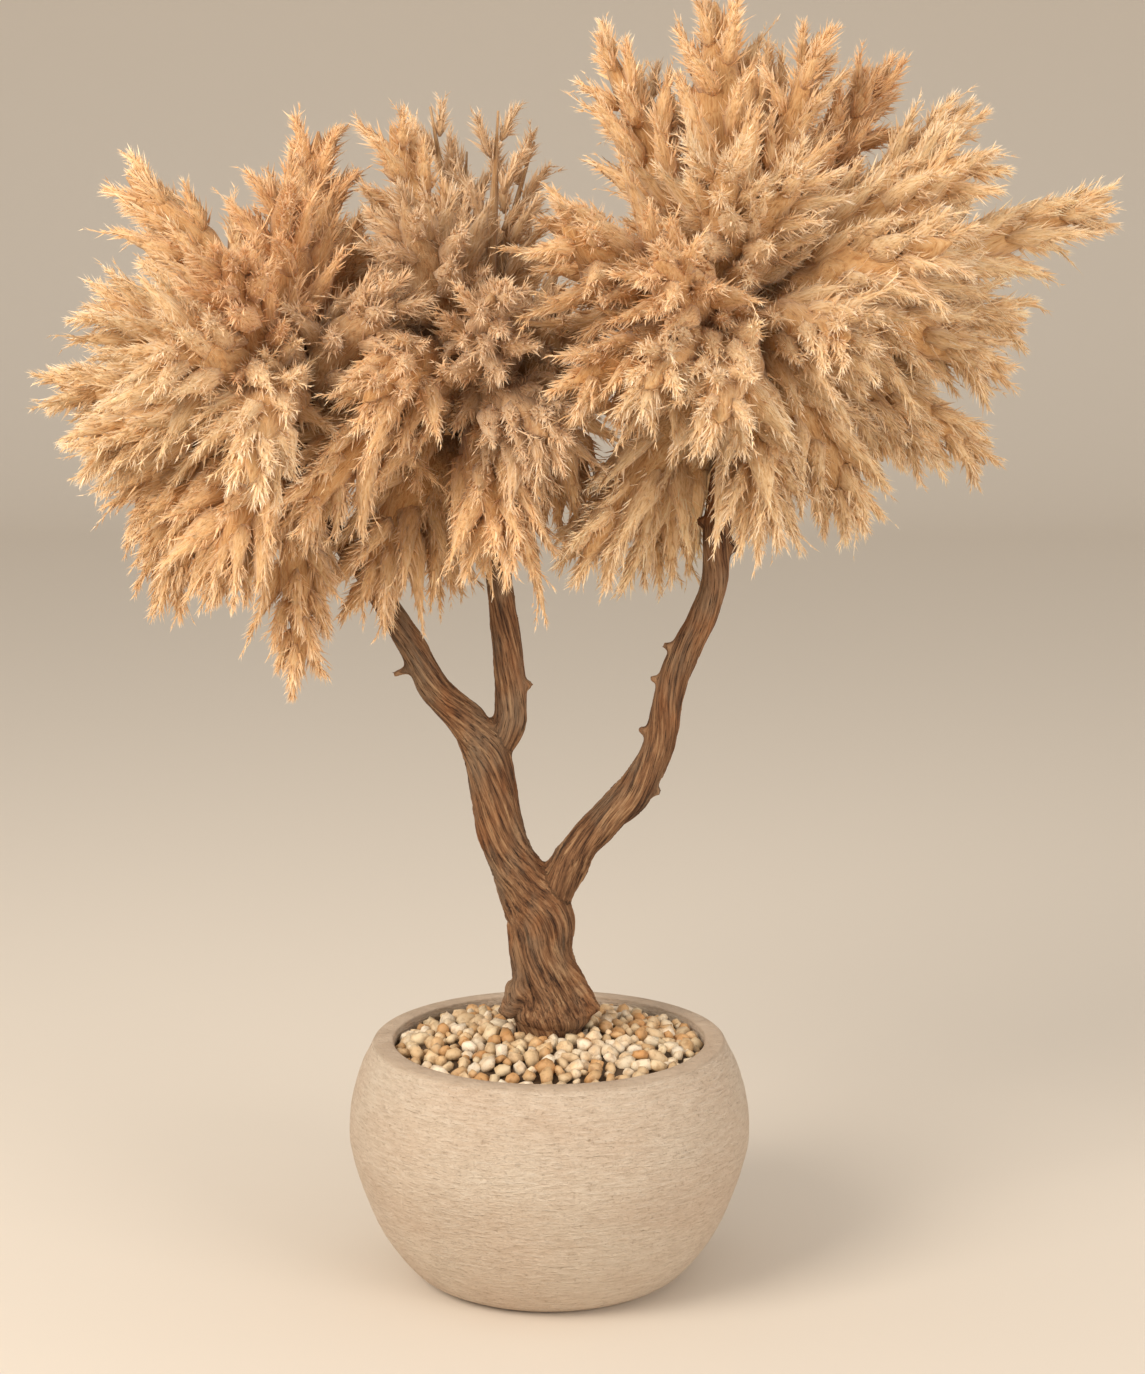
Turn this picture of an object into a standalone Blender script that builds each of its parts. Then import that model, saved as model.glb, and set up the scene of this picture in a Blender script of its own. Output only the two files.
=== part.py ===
"""A pampas grass tree in its pot: dried plumes on three wooden branches that stand in gravel.

Metres, +Z up. The origin is the centre of the pot's flat base, and the front faces -Y.
A plume is a thin stem and a slim core with pointed tufts that stand out of it.
Every plume keeps to the space that lies nearer to its own stem line than to any other,
so that neighbours lie close and never cross.
"""
import math
import random

import bmesh
import bpy
import numpy as np
from mathutils import Vector
from mathutils.geometry import delaunay_2d_cdt

GAP = 0.0003

# Pot: outer outline as (radius, height), and the wall
POT_OUTLINE = [(0.122, 0.000), (0.145, 0.014), (0.174, 0.052), (0.193, 0.095), (0.205, 0.135),
               (0.2075, 0.160), (0.2045, 0.190), (0.196, 0.220), (0.186, 0.241), (0.182, 0.2495)]
POT_SIDES = 36
RIM_TOP = 0.252
RIM_OUTER = 0.179
RIM_INNER = 0.161
LIP_DEPTH = 0.012
POT_WALL = 0.020
POT_FLOOR = 0.018

# Filling that holds the foot of the wood, and the gravel over it
FILL_TOP = 0.222
SEAT_GAP = 0.0006
FOOT_RADIUS = 0.034
FOOT_BOTTOM = 0.100
GRAVEL_EDGE = RIM_TOP - LIP_DEPTH
GRAVEL_MOUND = 0.022
PEBBLE_SPACING = 0.0225
PEBBLE_RELIEF = 0.0045

# Wood: route points as (x, y, z, radius)
WOOD_SIDES = 12
FOOT = [(0.000, 0.000, FOOT_BOTTOM, FOOT_RADIUS), (0.000, 0.000, 0.2685, FOOT_RADIUS)]
LEFT_BRANCH = [(0.002, 0.000, 0.277, 0.042), (0.001, 0.000, 0.300, 0.036), (-0.008, 0.000, 0.344, 0.032),
               (-0.008, 0.000, 0.383, 0.034), (-0.026, 0.000, 0.419, 0.028), (-0.046, 0.000, 0.461, 0.0235),
               (-0.056, 0.000, 0.515, 0.024), (-0.064, 0.000, 0.554, 0.0245), (-0.085, -0.003, 0.585, 0.0195),
               (-0.115, -0.006, 0.618, 0.016), (-0.143, -0.010, 0.672, 0.014), (-0.162, -0.012, 0.704, 0.013),
               (-0.177, -0.014, 0.729, 0.012), (-0.197, -0.016, 0.755, 0.011), (-0.222, -0.018, 0.795, 0.010)]
RIGHT_BRANCH = [(-0.004, 0.000, 0.385, 0.020), (0.011, 0.000, 0.419, 0.0225), (0.032, 0.000, 0.454, 0.019),
                (0.059, 0.000, 0.484, 0.018), (0.088, 0.000, 0.513, 0.019), (0.112, 0.000, 0.561, 0.017),
                (0.122, 0.000, 0.615, 0.016), (0.135, 0.000, 0.653, 0.016), (0.155, 0.000, 0.691, 0.015),
                (0.167, 0.000, 0.728, 0.014), (0.168, 0.000, 0.766, 0.0145), (0.172, 0.000, 0.810, 0.013),
                (0.176, 0.000, 0.851, 0.012)]
MIDDLE_BRANCH = [(-0.062, 0.000, 0.545, 0.017), (-0.045, 0.004, 0.575, 0.0175), (-0.039, 0.008, 0.599, 0.0165),
                 (-0.042, 0.013, 0.653, 0.015), (-0.049, 0.018, 0.710, 0.014), (-0.054, 0.023, 0.766, 0.013),
                 (-0.059, 0.027, 0.810, 0.012)]
# Snags and roots: from a point inside the wood to the tip, with the radius at each end
SNAGS = [((-0.128, -0.008, 0.645), (-0.158, -0.012, 0.634), 0.007, 0.004),
         ((0.137, 0.000, 0.655), (0.115, -0.006, 0.665), 0.008, 0.004),
         ((0.124, 0.000, 0.622), (0.102, -0.006, 0.631), 0.008, 0.004),
         ((0.114, 0.000, 0.566), (0.091, -0.004, 0.578), 0.008, 0.004),
         ((0.092, 0.000, 0.517), (0.115, -0.004, 0.511), 0.009, 0.005),
         ((0.168, 0.000, 0.757), (0.191, -0.002, 0.764), 0.007, 0.005),
         ((0.170, 0.000, 0.782), (0.148, -0.004, 0.791), 0.007, 0.004),
         ((-0.040, 0.009, 0.612), (-0.018, 0.004, 0.623), 0.008, 0.005),
         ((-0.006, -0.006, 0.298), (-0.043, -0.016, 0.309), 0.010, 0.006),
         ((-0.014, -0.010, 0.330), (-0.046, -0.022, 0.281), 0.013, 0.008),
         ((0.012, -0.008, 0.334), (0.046, -0.016, 0.282), 0.014, 0.009),
         ((0.004, 0.010, 0.330), (0.010, 0.047, 0.281), 0.013, 0.008)]
TENON_RADIUS = 0.009
TENON_DEPTH = 0.022

# Foam balls on the branch tips: centre and radius
HOLDERS = {
    "left": ((-0.255, -0.020, 0.887), 0.044),
    "middle": ((-0.065, 0.030, 0.900), 0.044),
    "right": ((0.181, 0.000, 0.965), 0.056),
}
STEM_RADIUS = 0.0020
STEM_DEPTH = 0.014
CORE_SIDES = 5

# Plumes: name, holder, tip, half width of the fluff, how much the stem rises before it arches over.
# Rows with the same name fork from one stem.
PLUMES = [
    ("L1", "left", (-0.420, 0.030, 1.130), 0.066, 0.40),
    ("L2", "left", (-0.435, -0.060, 1.010), 0.064, 0.05),
    ("L3", "left", (-0.490, 0.020, 0.920), 0.060, 0.10),
    ("L4", "left", (-0.360, -0.210, 0.975), 0.085, 0.12),
    ("L5", "left", (-0.445, -0.090, 0.865), 0.056, 0.20),
    ("L6", "left", (-0.425, 0.050, 0.775), 0.062, 0.25),
    ("L7", "left", (-0.380, -0.050, 0.725), 0.060, 0.25),
    ("L8", "left", (-0.305, -0.170, 0.755), 0.066, 0.15),
    ("L9", "left", (-0.240, -0.110, 0.650), 0.048, 0.00),
    ("L10", "left", (-0.270, -0.260, 0.855), 0.064, 0.40),
    ("L11", "left", (-0.230, 0.050, 1.175), 0.060, 0.00),
    ("L11", "left", (-0.205, 0.130, 1.080), 0.066, 0.05),
    ("L12", "left", (-0.250, -0.090, 1.125), 0.070, 0.00),
    ("L13", "left", (-0.300, -0.180, 1.060), 0.062, 0.00),
    ("L14", "left", (-0.145, -0.150, 1.015), 0.068, 0.10),
    ("L14", "left", (-0.150, 0.020, 0.830), 0.066, 0.10),
    ("M1", "middle", (-0.155, 0.000, 1.180), 0.066, 0.00),
    ("M2", "middle", (-0.120, 0.090, 1.200), 0.044, 0.00),
    ("M2", "middle", (-0.085, 0.140, 1.155), 0.044, 0.00),
    ("M3", "middle", (-0.050, 0.040, 1.195), 0.048, 0.00),
    ("M3", "middle", (-0.015, 0.090, 1.165), 0.046, 0.00),
    ("M4", "middle", (-0.135, -0.120, 1.100), 0.080, 0.00),
    ("M5", "middle", (-0.050, -0.240, 1.025), 0.062, 0.00),
    ("M6", "middle", (-0.170, -0.210, 0.925), 0.070, 0.25),
    ("M7", "middle", (-0.235, -0.160, 0.805), 0.068, 0.30),
    ("M8", "middle", (-0.040, -0.150, 0.775), 0.066, 0.15),
    ("M9", "middle", (-0.180, -0.060, 0.715), 0.054, 0.20),
    ("M9", "middle", (-0.110, 0.030, 0.735), 0.058, 0.10),
    ("M11", "middle", (0.000, -0.220, 0.895), 0.062, 0.10),
    ("M12", "middle", (0.020, -0.100, 0.995), 0.072, 0.05),
    ("M12", "middle", (0.015, 0.000, 0.810), 0.062, 0.10),
    ("R1", "right", (0.050, 0.020, 1.270), 0.060, 0.00),
    ("R1", "right", (0.095, 0.100, 1.225), 0.052, 0.00),
    ("R3", "right", (0.165, 0.030, 1.300), 0.080, 0.00),
    ("R5", "right", (0.265, 0.000, 1.270), 0.052, 0.00),
    ("R5", "right", (0.225, 0.100, 1.245), 0.052, 0.00),
    ("R6", "right", (0.340, 0.060, 1.240), 0.062, 0.00),
    ("R7", "right", (0.415, 0.010, 1.200), 0.060, 0.00),
    ("R8", "right", (0.420, -0.090, 1.155), 0.068, 0.05),
    ("R9", "right", (0.380, -0.160, 1.070), 0.074, 0.10),
    ("R10", "right", (0.560, 0.020, 1.110), 0.068, 0.02),
    ("R11", "right", (0.490, 0.100, 0.985), 0.060, 0.10),
    ("R12", "right", (0.445, -0.050, 0.935), 0.056, 0.25),
    ("R13", "right", (0.445, 0.060, 0.840), 0.052, 0.15),
    ("R13", "right", (0.375, 0.000, 0.855), 0.044, 0.15),
    ("R14", "right", (0.295, -0.060, 0.800), 0.060, 0.20),
    ("R15", "right", (0.210, -0.140, 0.800), 0.062, 0.10),
    ("R16", "right", (0.095, 0.030, 0.745), 0.070, 0.15),
    ("R16", "right", (0.035, -0.100, 0.765), 0.064, 0.15),
    ("R18", "right", (0.015, -0.220, 1.085), 0.090, 0.00),
    ("R19", "right", (0.165, -0.160, 1.145), 0.072, 0.00),
    ("R19", "right", (0.245, -0.130, 1.140), 0.064, 0.00),
    ("R21", "right", (0.155, -0.320, 0.915), 0.072, 0.10),
    ("R22", "right", (0.090, -0.310, 0.945), 0.066, 0.10),
    ("R22", "right", (0.025, -0.240, 0.945), 0.062, 0.10),
    ("R23", "right", (0.280, -0.220, 0.985), 0.070, 0.05),
    ("R26", "right", (0.100, -0.280, 1.055), 0.070, 0.00),
    ("BL1", "left", (-0.405, 0.220, 1.045), 0.070, 0.00),
    ("BL1", "left", (-0.240, 0.260, 0.965), 0.064, 0.00),
    ("BL2", "left", (-0.390, 0.230, 0.795), 0.070, 0.15),
    ("BL2", "left", (-0.235, 0.200, 0.765), 0.062, 0.15),
    ("BM1", "middle", (-0.130, 0.240, 1.070), 0.070, 0.00),
    ("BM1", "middle", (-0.015, 0.220, 1.065), 0.066, 0.00),
    ("BM2", "middle", (-0.140, 0.250, 0.785), 0.070, 0.15),
    ("BM2", "middle", (-0.020, 0.280, 0.890), 0.064, 0.10),
    ("BR1", "right", (0.095, 0.280, 1.060), 0.076, 0.00),
    ("BR2", "right", (0.270, 0.270, 1.135), 0.076, 0.00),
    ("BR3", "right", (0.420, 0.250, 0.965), 0.072, 0.10),
    ("BR3", "right", (0.355, 0.200, 0.830), 0.062, 0.15),
    ("BR4", "right", (0.230, 0.300, 0.855), 0.076, 0.10),
    ("BR4", "right", (0.105, 0.210, 0.800), 0.066, 0.15),
]
ARCH_STRENGTH = 1.6
CORE_SHARE = 0.60
CORE_STATIONS = (0.05, 0.17, 0.34, 0.54, 0.76)
TUFTS = 8
FORK_TUFTS = 6
TUFT_ANGLE = math.radians(36)
TUFT_DROOP = 0.22
TUFT_ROOT_SHARE = 0.55
TUFT_REACH_PAST_CORE = 0.008
GOLDEN_ANGLE = math.radians(137.5)
CLEARANCE = 0.0016
SEED = 7

# Colours, roughness
LOOKS = {
    "stoneware": ("#C9B79C", 0.85),
    "filling": ("#8B7F70", 0.95),
    "pebbles": ("#CDB79A", 0.75),
    "wood": ("#7A5233", 0.80),
    "foam": ("#6F5A3E", 0.95),
    "plume_cream": ("#E2C69A", 0.90),
    "plume_wheat": ("#CFA672", 0.90),
    "plume_grey": ("#B9A083", 0.90),
}


def remove_everything():
    for obj in list(bpy.data.objects):
        bpy.data.objects.remove(obj, do_unlink=True)


def linear(channel):
    return channel / 12.92 if channel <= 0.04045 else ((channel + 0.055) / 1.055) ** 2.4


def material(name):
    known = bpy.data.materials.get(name)
    if known:
        return known
    colour, roughness = LOOKS[name]
    mat = bpy.data.materials.new(name)
    mat.use_nodes = True
    shader = mat.node_tree.nodes["Principled BSDF"]
    rgb = [linear(int(colour[i:i + 2], 16) / 255) for i in (1, 3, 5)]
    shader.inputs["Base Color"].default_value = (*rgb, 1)
    shader.inputs["Roughness"].default_value = roughness
    shader.inputs["Metallic"].default_value = 0
    mat.diffuse_color = (*rgb, 1)
    return mat


def object_from(bm, name, look=None, smooth_angle=None):
    """Turns a bmesh into a named object with outward faces."""
    bmesh.ops.recalc_face_normals(bm, faces=bm.faces)
    mesh = bpy.data.meshes.new(name)
    bm.to_mesh(mesh)
    bm.free()
    if look:
        mesh.materials.append(material(look))
    if smooth_angle:
        mesh.shade_smooth()
        mesh.set_sharp_from_angle(angle=math.radians(smooth_angle))
    obj = bpy.data.objects.new(name, mesh)
    bpy.context.scene.collection.objects.link(obj)
    return obj


def lathe(name, outline, look):
    """Turns an outline of (radius, height), which starts and ends on the axis, about Z."""
    bm = bmesh.new()
    verts = [bm.verts.new((r, 0, z)) for r, z in outline]
    edges = [bm.edges.new(pair) for pair in zip(verts, verts[1:])]
    bmesh.ops.spin(bm, geom=verts + edges, cent=(0, 0, 0), axis=(0, 0, 1), angle=math.tau, steps=POT_SIDES)
    bmesh.ops.remove_doubles(bm, verts=bm.verts, dist=0.00001)
    return object_from(bm, name, look, 35)


def frames_along(points):
    """Gives each point of a route its tangent and two sides, carried along without twist."""
    points = np.asarray(points, float)
    steps = np.gradient(points, axis=0)
    tangents = steps / np.linalg.norm(steps, axis=1)[:, None]
    start = np.array([0.0, 1.0, 0.0]) if abs(tangents[0][1]) < 0.8 else np.array([1.0, 0.0, 0.0])
    sides = []
    for tangent in tangents:
        start = start - tangent * start.dot(tangent)
        start = start / np.linalg.norm(start)
        sides.append(start)
    sides = np.array(sides)
    return tangents, sides, np.cross(tangents, sides)


def sweep(bm, points, radii, sides, pointed=False, grooves=0.0):
    """Sweeps a polygon along a route, with flat ends or a pointed one. Grooves twist round it like bark."""
    tangents, first, second = frames_along(points)
    travelled = 0.0
    rings = []
    for i, point in enumerate(points):
        if i:
            travelled += float(np.linalg.norm(np.subtract(point, points[i - 1])))
        ring = []
        for k in range(sides):
            a = math.tau * k / sides
            ripple = 0.6 * math.sin(3 * a + 11 * travelled) + 0.4 * math.sin(5 * a - 17 * travelled + 1)
            r = radii[i] * (1 + grooves * ripple)
            ring.append(bm.verts.new(point + r * (math.cos(a) * first[i] + math.sin(a) * second[i])))
        rings.append(ring)
    if pointed:
        tip = bm.verts.new(points[-1])
        for vert in rings.pop():
            bm.verts.remove(vert)
    for near, far in zip(rings, rings[1:]):
        for k in range(sides):
            j = (k + 1) % sides
            bm.faces.new((near[k], near[j], far[j], far[k]))
    bm.faces.new(rings[0][::-1])
    if pointed:
        for k in range(sides):
            bm.faces.new((rings[-1][k], rings[-1][(k + 1) % sides], tip))
    else:
        bm.faces.new(rings[-1])
    return bm


def apply_boolean(obj, operation, others, solver="EXACT"):
    """Joins or cuts an object with others in one step, applies it, and removes them."""
    group = bpy.data.collections.new("operands")
    bpy.context.scene.collection.children.link(group)
    for other in others:
        bpy.context.scene.collection.objects.unlink(other)
        group.objects.link(other)
    step = obj.modifiers.new("join", "BOOLEAN")
    step.operation = operation
    step.operand_type = "COLLECTION"
    step.collection = group
    step.solver = solver
    seen = obj.evaluated_get(bpy.context.evaluated_depsgraph_get())
    result = bpy.data.meshes.new_from_object(seen)
    obj.modifiers.clear()
    obj.data = result
    for other in others:
        bpy.data.objects.remove(other, do_unlink=True)
    bpy.data.collections.remove(group)


def inner_outline():
    """The pot's inside, from the lip down to the floor: the outside moved in by the wall."""
    inner = [(RIM_INNER, RIM_TOP - 0.002), (RIM_INNER, RIM_TOP - LIP_DEPTH)]
    walls = [(r - POT_WALL, z) for r, z in POT_OUTLINE if 0.05 < z < 0.225]
    inner += walls[::-1]
    inner.append((POT_OUTLINE[1][0] - 0.010, POT_FLOOR + 0.006))
    inner.append((POT_OUTLINE[0][0] - 0.010, POT_FLOOR))
    return inner


def inner_radius(height):
    inner = inner_outline()[::-1]
    return float(np.interp(height, [z for _, z in inner], [r for r, _ in inner]))


def make_pot():
    rim = [(RIM_OUTER, RIM_TOP), (RIM_INNER + 0.002, RIM_TOP)]
    lathe("pot", [(0, 0)] + POT_OUTLINE + rim + inner_outline() + [(0, POT_FLOOR)], "stoneware")


def make_fill():
    """Follows the pot's inside, with a plain round hole for the foot of the wood."""
    floor = POT_FLOOR + GAP
    wall = [(r - SEAT_GAP, z + GAP) for r, z in inner_outline() if z < FILL_TOP - 0.001][::-1]
    hole = FOOT_RADIUS + SEAT_GAP
    top = [(inner_radius(FILL_TOP) - SEAT_GAP, FILL_TOP), (hole, FILL_TOP)]
    bottom = FOOT_BOTTOM - GAP
    lathe("fill", [(0, floor)] + wall + top + [(hole, bottom), (0, bottom)], "filling")


def circle(radius, count, phase=0.0):
    return [Vector((radius * math.cos(math.tau * k / count + phase),
                    radius * math.sin(math.tau * k / count + phase))) for k in range(count)]


def make_gravel():
    """A mounded ring of pebbles as relief: a raised point for each pebble, low points where three meet."""
    rnd = random.Random(SEED)
    outer = circle(RIM_INNER - SEAT_GAP, POT_SIDES)
    inner = circle(FOOT_RADIUS + 2 * SEAT_GAP, 24)
    pebbles = []
    radius = FOOT_RADIUS + 0.011
    while radius < RIM_INNER - 0.007:
        count = round(math.tau * radius / PEBBLE_SPACING)
        for k in range(count):
            a = math.tau * (k + 0.35 * rnd.random()) / count + radius * 40
            r = radius + 0.002 * (rnd.random() - 0.5)
            pebbles.append(Vector((r * math.cos(a), r * math.sin(a))))
        radius += PEBBLE_SPACING * 0.86
    rims = outer + inner
    edges = [(k, (k + 1) % POT_SIDES) for k in range(POT_SIDES)]
    edges += [(POT_SIDES + k, POT_SIDES + (k + 1) % 24) for k in range(24)]
    first = delaunay_2d_cdt(rims + pebbles, edges, [], 0, 0.00001)
    low = []
    for tri in first[2]:
        middle = sum((first[0][i] for i in tri), Vector((0, 0))) / 3
        if FOOT_RADIUS + 0.004 < middle.length < RIM_INNER - 0.004:
            low.append(middle)
    points, _, faces, _, _, _ = delaunay_2d_cdt(rims + pebbles + low, edges, [], 0, 0.00001)
    tops = {(round(p.x, 5), round(p.y, 5)) for p in pebbles}
    bm = bmesh.new()
    verts = []
    for p in points:
        share = p.length / RIM_INNER
        height = GRAVEL_EDGE + GRAVEL_MOUND * (1 - share * share)
        if (round(p.x, 5), round(p.y, 5)) in tops:
            height += PEBBLE_RELIEF * (0.7 + 0.6 * rnd.random())
        verts.append(bm.verts.new((p.x, p.y, height)))
    for tri in faces:
        middle = sum((points[i] for i in tri), Vector((0, 0))) / 3
        if middle.length > FOOT_RADIUS:
            bm.faces.new([verts[i] for i in tri])
    for vert in [v for v in bm.verts if not v.link_faces]:
        bm.verts.remove(vert)
    rim_edges = [e for e in bm.edges if e.is_boundary]
    lower = {}
    for edge in rim_edges:
        for vert in edge.verts:
            if vert not in lower:
                flat = vert.co.to_2d()
                if flat.length > RIM_INNER / 2:
                    flat *= (inner_radius(FILL_TOP + GAP) - SEAT_GAP) / flat.length
                lower[vert] = bm.verts.new((flat.x, flat.y, FILL_TOP + GAP))
    bottom_edges = []
    for edge in rim_edges:
        a, b = edge.verts
        bm.faces.new((a, b, lower[b], lower[a]))
        bottom_edges.append(bm.edges.get((lower[a], lower[b])))
    bmesh.ops.triangle_fill(bm, edges=bottom_edges, use_beauty=True)
    object_from(bm, "gravel", "pebbles")


def tenon_route(branch, holder):
    """The straight end of a branch, which plugs into its foam ball."""
    centre, radius = HOLDERS[holder]
    centre = np.array(centre)
    way = centre - np.array(branch[-1][:3])
    way = way / np.linalg.norm(way)
    return centre - way * (radius + 0.004), centre - way * (radius - TENON_DEPTH)


BRANCHES = {"left": LEFT_BRANCH, "middle": MIDDLE_BRANCH, "right": RIGHT_BRANCH}


def branch_object(name, route, holder, foot=()):
    neck, end = tenon_route(route, holder)
    points = [np.array(p[:3]) for p in route] + [neck, end]
    radii = [p[3] for p in route] + [TENON_RADIUS, TENON_RADIUS]
    bm = bmesh.new()
    if foot:
        points = [np.array(p[:3]) for p in foot] + points
        radii = [p[3] for p in foot] + radii
    sweep(bm, points, radii, WOOD_SIDES, grooves=0.12)
    plain = len(foot) * WOOD_SIDES
    bm.verts.ensure_lookup_table()
    for i in list(range(plain)) + list(range(len(bm.verts) - 2 * WOOD_SIDES, len(bm.verts))):
        vert = bm.verts[i]
        station = i // WOOD_SIDES
        centre = Vector(points[station])
        vert.co = centre + (vert.co - centre).normalized() * radii[station]
    return object_from(bm, name)


def make_trunk():
    """The forked wood, its snags and its root ridges, joined into one body."""
    trunk = branch_object("trunk", LEFT_BRANCH, "left", FOOT)
    extras = [branch_object("wood_middle", MIDDLE_BRANCH, "middle"),
              branch_object("wood_right", RIGHT_BRANCH, "right")]
    for i, (start, end, thick, thin) in enumerate(SNAGS):
        bm = bmesh.new()
        a, b = np.array(start), np.array(end)
        sweep(bm, [a, a * 0.4 + b * 0.6, b], [thick, (thick + thin) / 2, thin], 6)
        extras.append(object_from(bm, "wood_snag_%d" % i))
    apply_boolean(trunk, "UNION", extras)
    trunk.data.materials.clear()
    trunk.data.materials.append(material("wood"))
    trunk.data.shade_smooth()
    trunk.data.set_sharp_from_angle(angle=math.radians(50))


def wood_samples():
    """Points down the middle of the wood with the radius at each, for the plumes to stay clear of."""
    out = []
    for holder, route in BRANCHES.items():
        full = [np.array(p) for p in route]
        full.append(np.append(tenon_route(route, holder)[0], TENON_RADIUS))
        for a, b in zip(full, full[1:]):
            out += [a + (b - a) * k / 6 for k in range(7)]
    return np.array(out)


def stem_lines():
    """Each plume's line: straight out of its holder, then an arch to the tip.

    A plume that forks from another's stem leaves the holder where that one does,
    halfway between the two directions.
    """
    stems = {}
    lines = []
    for name, holder, tip, _, rise in PLUMES:
        centre, radius = HOLDERS[holder]
        centre, tip = np.array(centre), np.array(tip)
        way = (tip - centre) / np.linalg.norm(tip - centre) + np.array([0, 0, rise * ARCH_STRENGTH])
        way = way / np.linalg.norm(way)
        if name in stems:
            inner, start, first_way = stems[name]
            way = (way + first_way) / np.linalg.norm(way + first_way)
        else:
            start = centre + way * radius
            inner = start - way * STEM_DEPTH
            stems[name] = inner, start, way
        bend = start + way * 0.5 * np.linalg.norm(tip - start)
        lines.append((inner, start, bend, tip))
    return lines


def arch(line, t):
    """Points on the arch at the shares t of its way from the holder to the tip."""
    _, start, bend, tip = line
    t = np.asarray(t, float)[:, None]
    return (1 - t) ** 2 * start + 2 * t * (1 - t) * bend + t * t * tip


def fluff_width(t):
    """A plume's width along its line, as a share of its greatest: it swells fast and thins to the tip."""
    return min(1.0, t / 0.22) ** 0.6 * min(1.0, (1 - t) / 0.62) ** 0.75


class Crown:
    """All stem lines together, and the tests that keep each plume in its own space."""

    def __init__(self):
        self.lines = stem_lines()
        shares = np.linspace(0, 1, 70)
        self.samples = []
        for line in self.lines:
            stem = line[0] + (line[1] - line[0]) * np.linspace(0, 1, 8)[:, None]
            self.samples.append(np.vstack([stem, arch(line, shares)]))
        self.wood = wood_samples()

    def nearest_other(self, own, points):
        name = PLUMES[own][0]
        others = np.vstack([s for spec, s in zip(PLUMES, self.samples) if spec[0] != name])
        return np.linalg.norm(points[:, None] - others[None], axis=2).min(axis=1)

    def fixed_room(self, points):
        """How far points lie from the wood and from the foam balls."""
        wood = np.linalg.norm(points[:, None] - self.wood[None, :, :3], axis=2) - self.wood[None, :, 3] * 1.15
        room = wood.min(axis=1)
        for centre, radius in HOLDERS.values():
            room = np.minimum(room, np.linalg.norm(points - np.array(centre), axis=1) - radius)
        return room

    def core_room(self, own, t0, t1):
        points = arch(self.lines[own], np.linspace(t0, t1, 12))
        side = (self.nearest_other(own, points) - CLEARANCE) / 2
        return float(min(side.min(), (self.fixed_room(points) - CLEARANCE).min()))

    def tuft_clear(self, own, points, radii):
        to_own = np.linalg.norm(points[:, None] - self.samples[own][None], axis=2).min(axis=1)
        beside = self.nearest_other(own, points) - to_own - 2 * radii - CLEARANCE
        return (beside > 0) & (self.fixed_room(points) - radii - CLEARANCE > 0)


def core_of(crown, index):
    """A plume's stem and core as a route with radii."""
    line = crown.lines[index]
    width = PLUMES[index][3]
    shares = (0.0,) + CORE_STATIONS + (1.0,)
    radii = []
    for before, t, after in zip(shares, shares[1:], shares[2:]):
        room = crown.core_room(index, (before + t) / 2, (t + after) / 2)
        radii.append(max(STEM_RADIUS, min(CORE_SHARE * width * fluff_width(t), room)))
    radii[0] = min(radii[0], 0.006)
    stem = [line[0], line[1] + (line[1] - line[0]) * 0.05]
    points = stem + list(arch(line, CORE_STATIONS + (1.0,)))
    return points, [STEM_RADIUS] * 2 + radii + [0.0]


def tuft_objects(crown, index, rnd):
    """Three-sided pointed tufts round the core, each shortened until it is clear of the neighbours."""
    name, _, _, width, _ = PLUMES[index]
    points, radii = core_of(crown, index)
    count = FORK_TUFTS if index and PLUMES[index - 1][0] == name else TUFTS
    tufts = []
    for j in range(count):
        t = 0.10 + 0.80 * (j + 0.5) / count
        here = arch(crown.lines[index], [t - 0.01, t, t + 0.01])
        tangent = (here[2] - here[0]) / np.linalg.norm(here[2] - here[0])
        side = np.cross(tangent, [0.3, 0.9, 0.2])
        side = side / np.linalg.norm(side)
        turn = j * GOLDEN_ANGLE + rnd.uniform(-0.3, 0.3)
        out = math.cos(turn) * side + math.sin(turn) * np.cross(tangent, side)
        way = math.cos(TUFT_ANGLE) * tangent + math.sin(TUFT_ANGLE) * out - np.array([0, 0, TUFT_DROOP])
        way = way / np.linalg.norm(way)
        core = float(np.interp(t, CORE_STATIONS + (1.0,), radii[2:]))
        length = width * fluff_width(t) / math.sin(TUFT_ANGLE) * rnd.uniform(0.9, 1.15) + 0.018
        root = max(0.003, min(0.016, core * TUFT_ROOT_SHARE))
        steps = np.linspace(0.25, 1, 16)
        clear = crown.tuft_clear(index, here[1] + way * length * steps[:, None], root * (1 - steps) + 0.0003)
        reach = steps[-1] if clear.all() else (steps[max(0, int(np.argmin(clear)) - 1)] if clear[0] else 0.0)
        if reach * length < core / math.sin(TUFT_ANGLE) + TUFT_REACH_PAST_CORE:
            continue
        end = here[1] + way * length * reach
        bm = bmesh.new()
        sweep(bm, [here[1], end], [root * min(1.0, reach + 0.1), 0.0], 3, pointed=True)
        tufts.append(object_from(bm, "tuft_%s" % name))
    return tufts


def plume_shoot(crown, index, rnd):
    """The stem and core of one row, and the tufts round it."""
    points, radii = core_of(crown, index)
    bm = bmesh.new()
    sweep(bm, points, radii, CORE_SIDES, pointed=True)
    return [object_from(bm, "plume_" + PLUMES[index][0])] + tuft_objects(crown, index, rnd)


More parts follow.
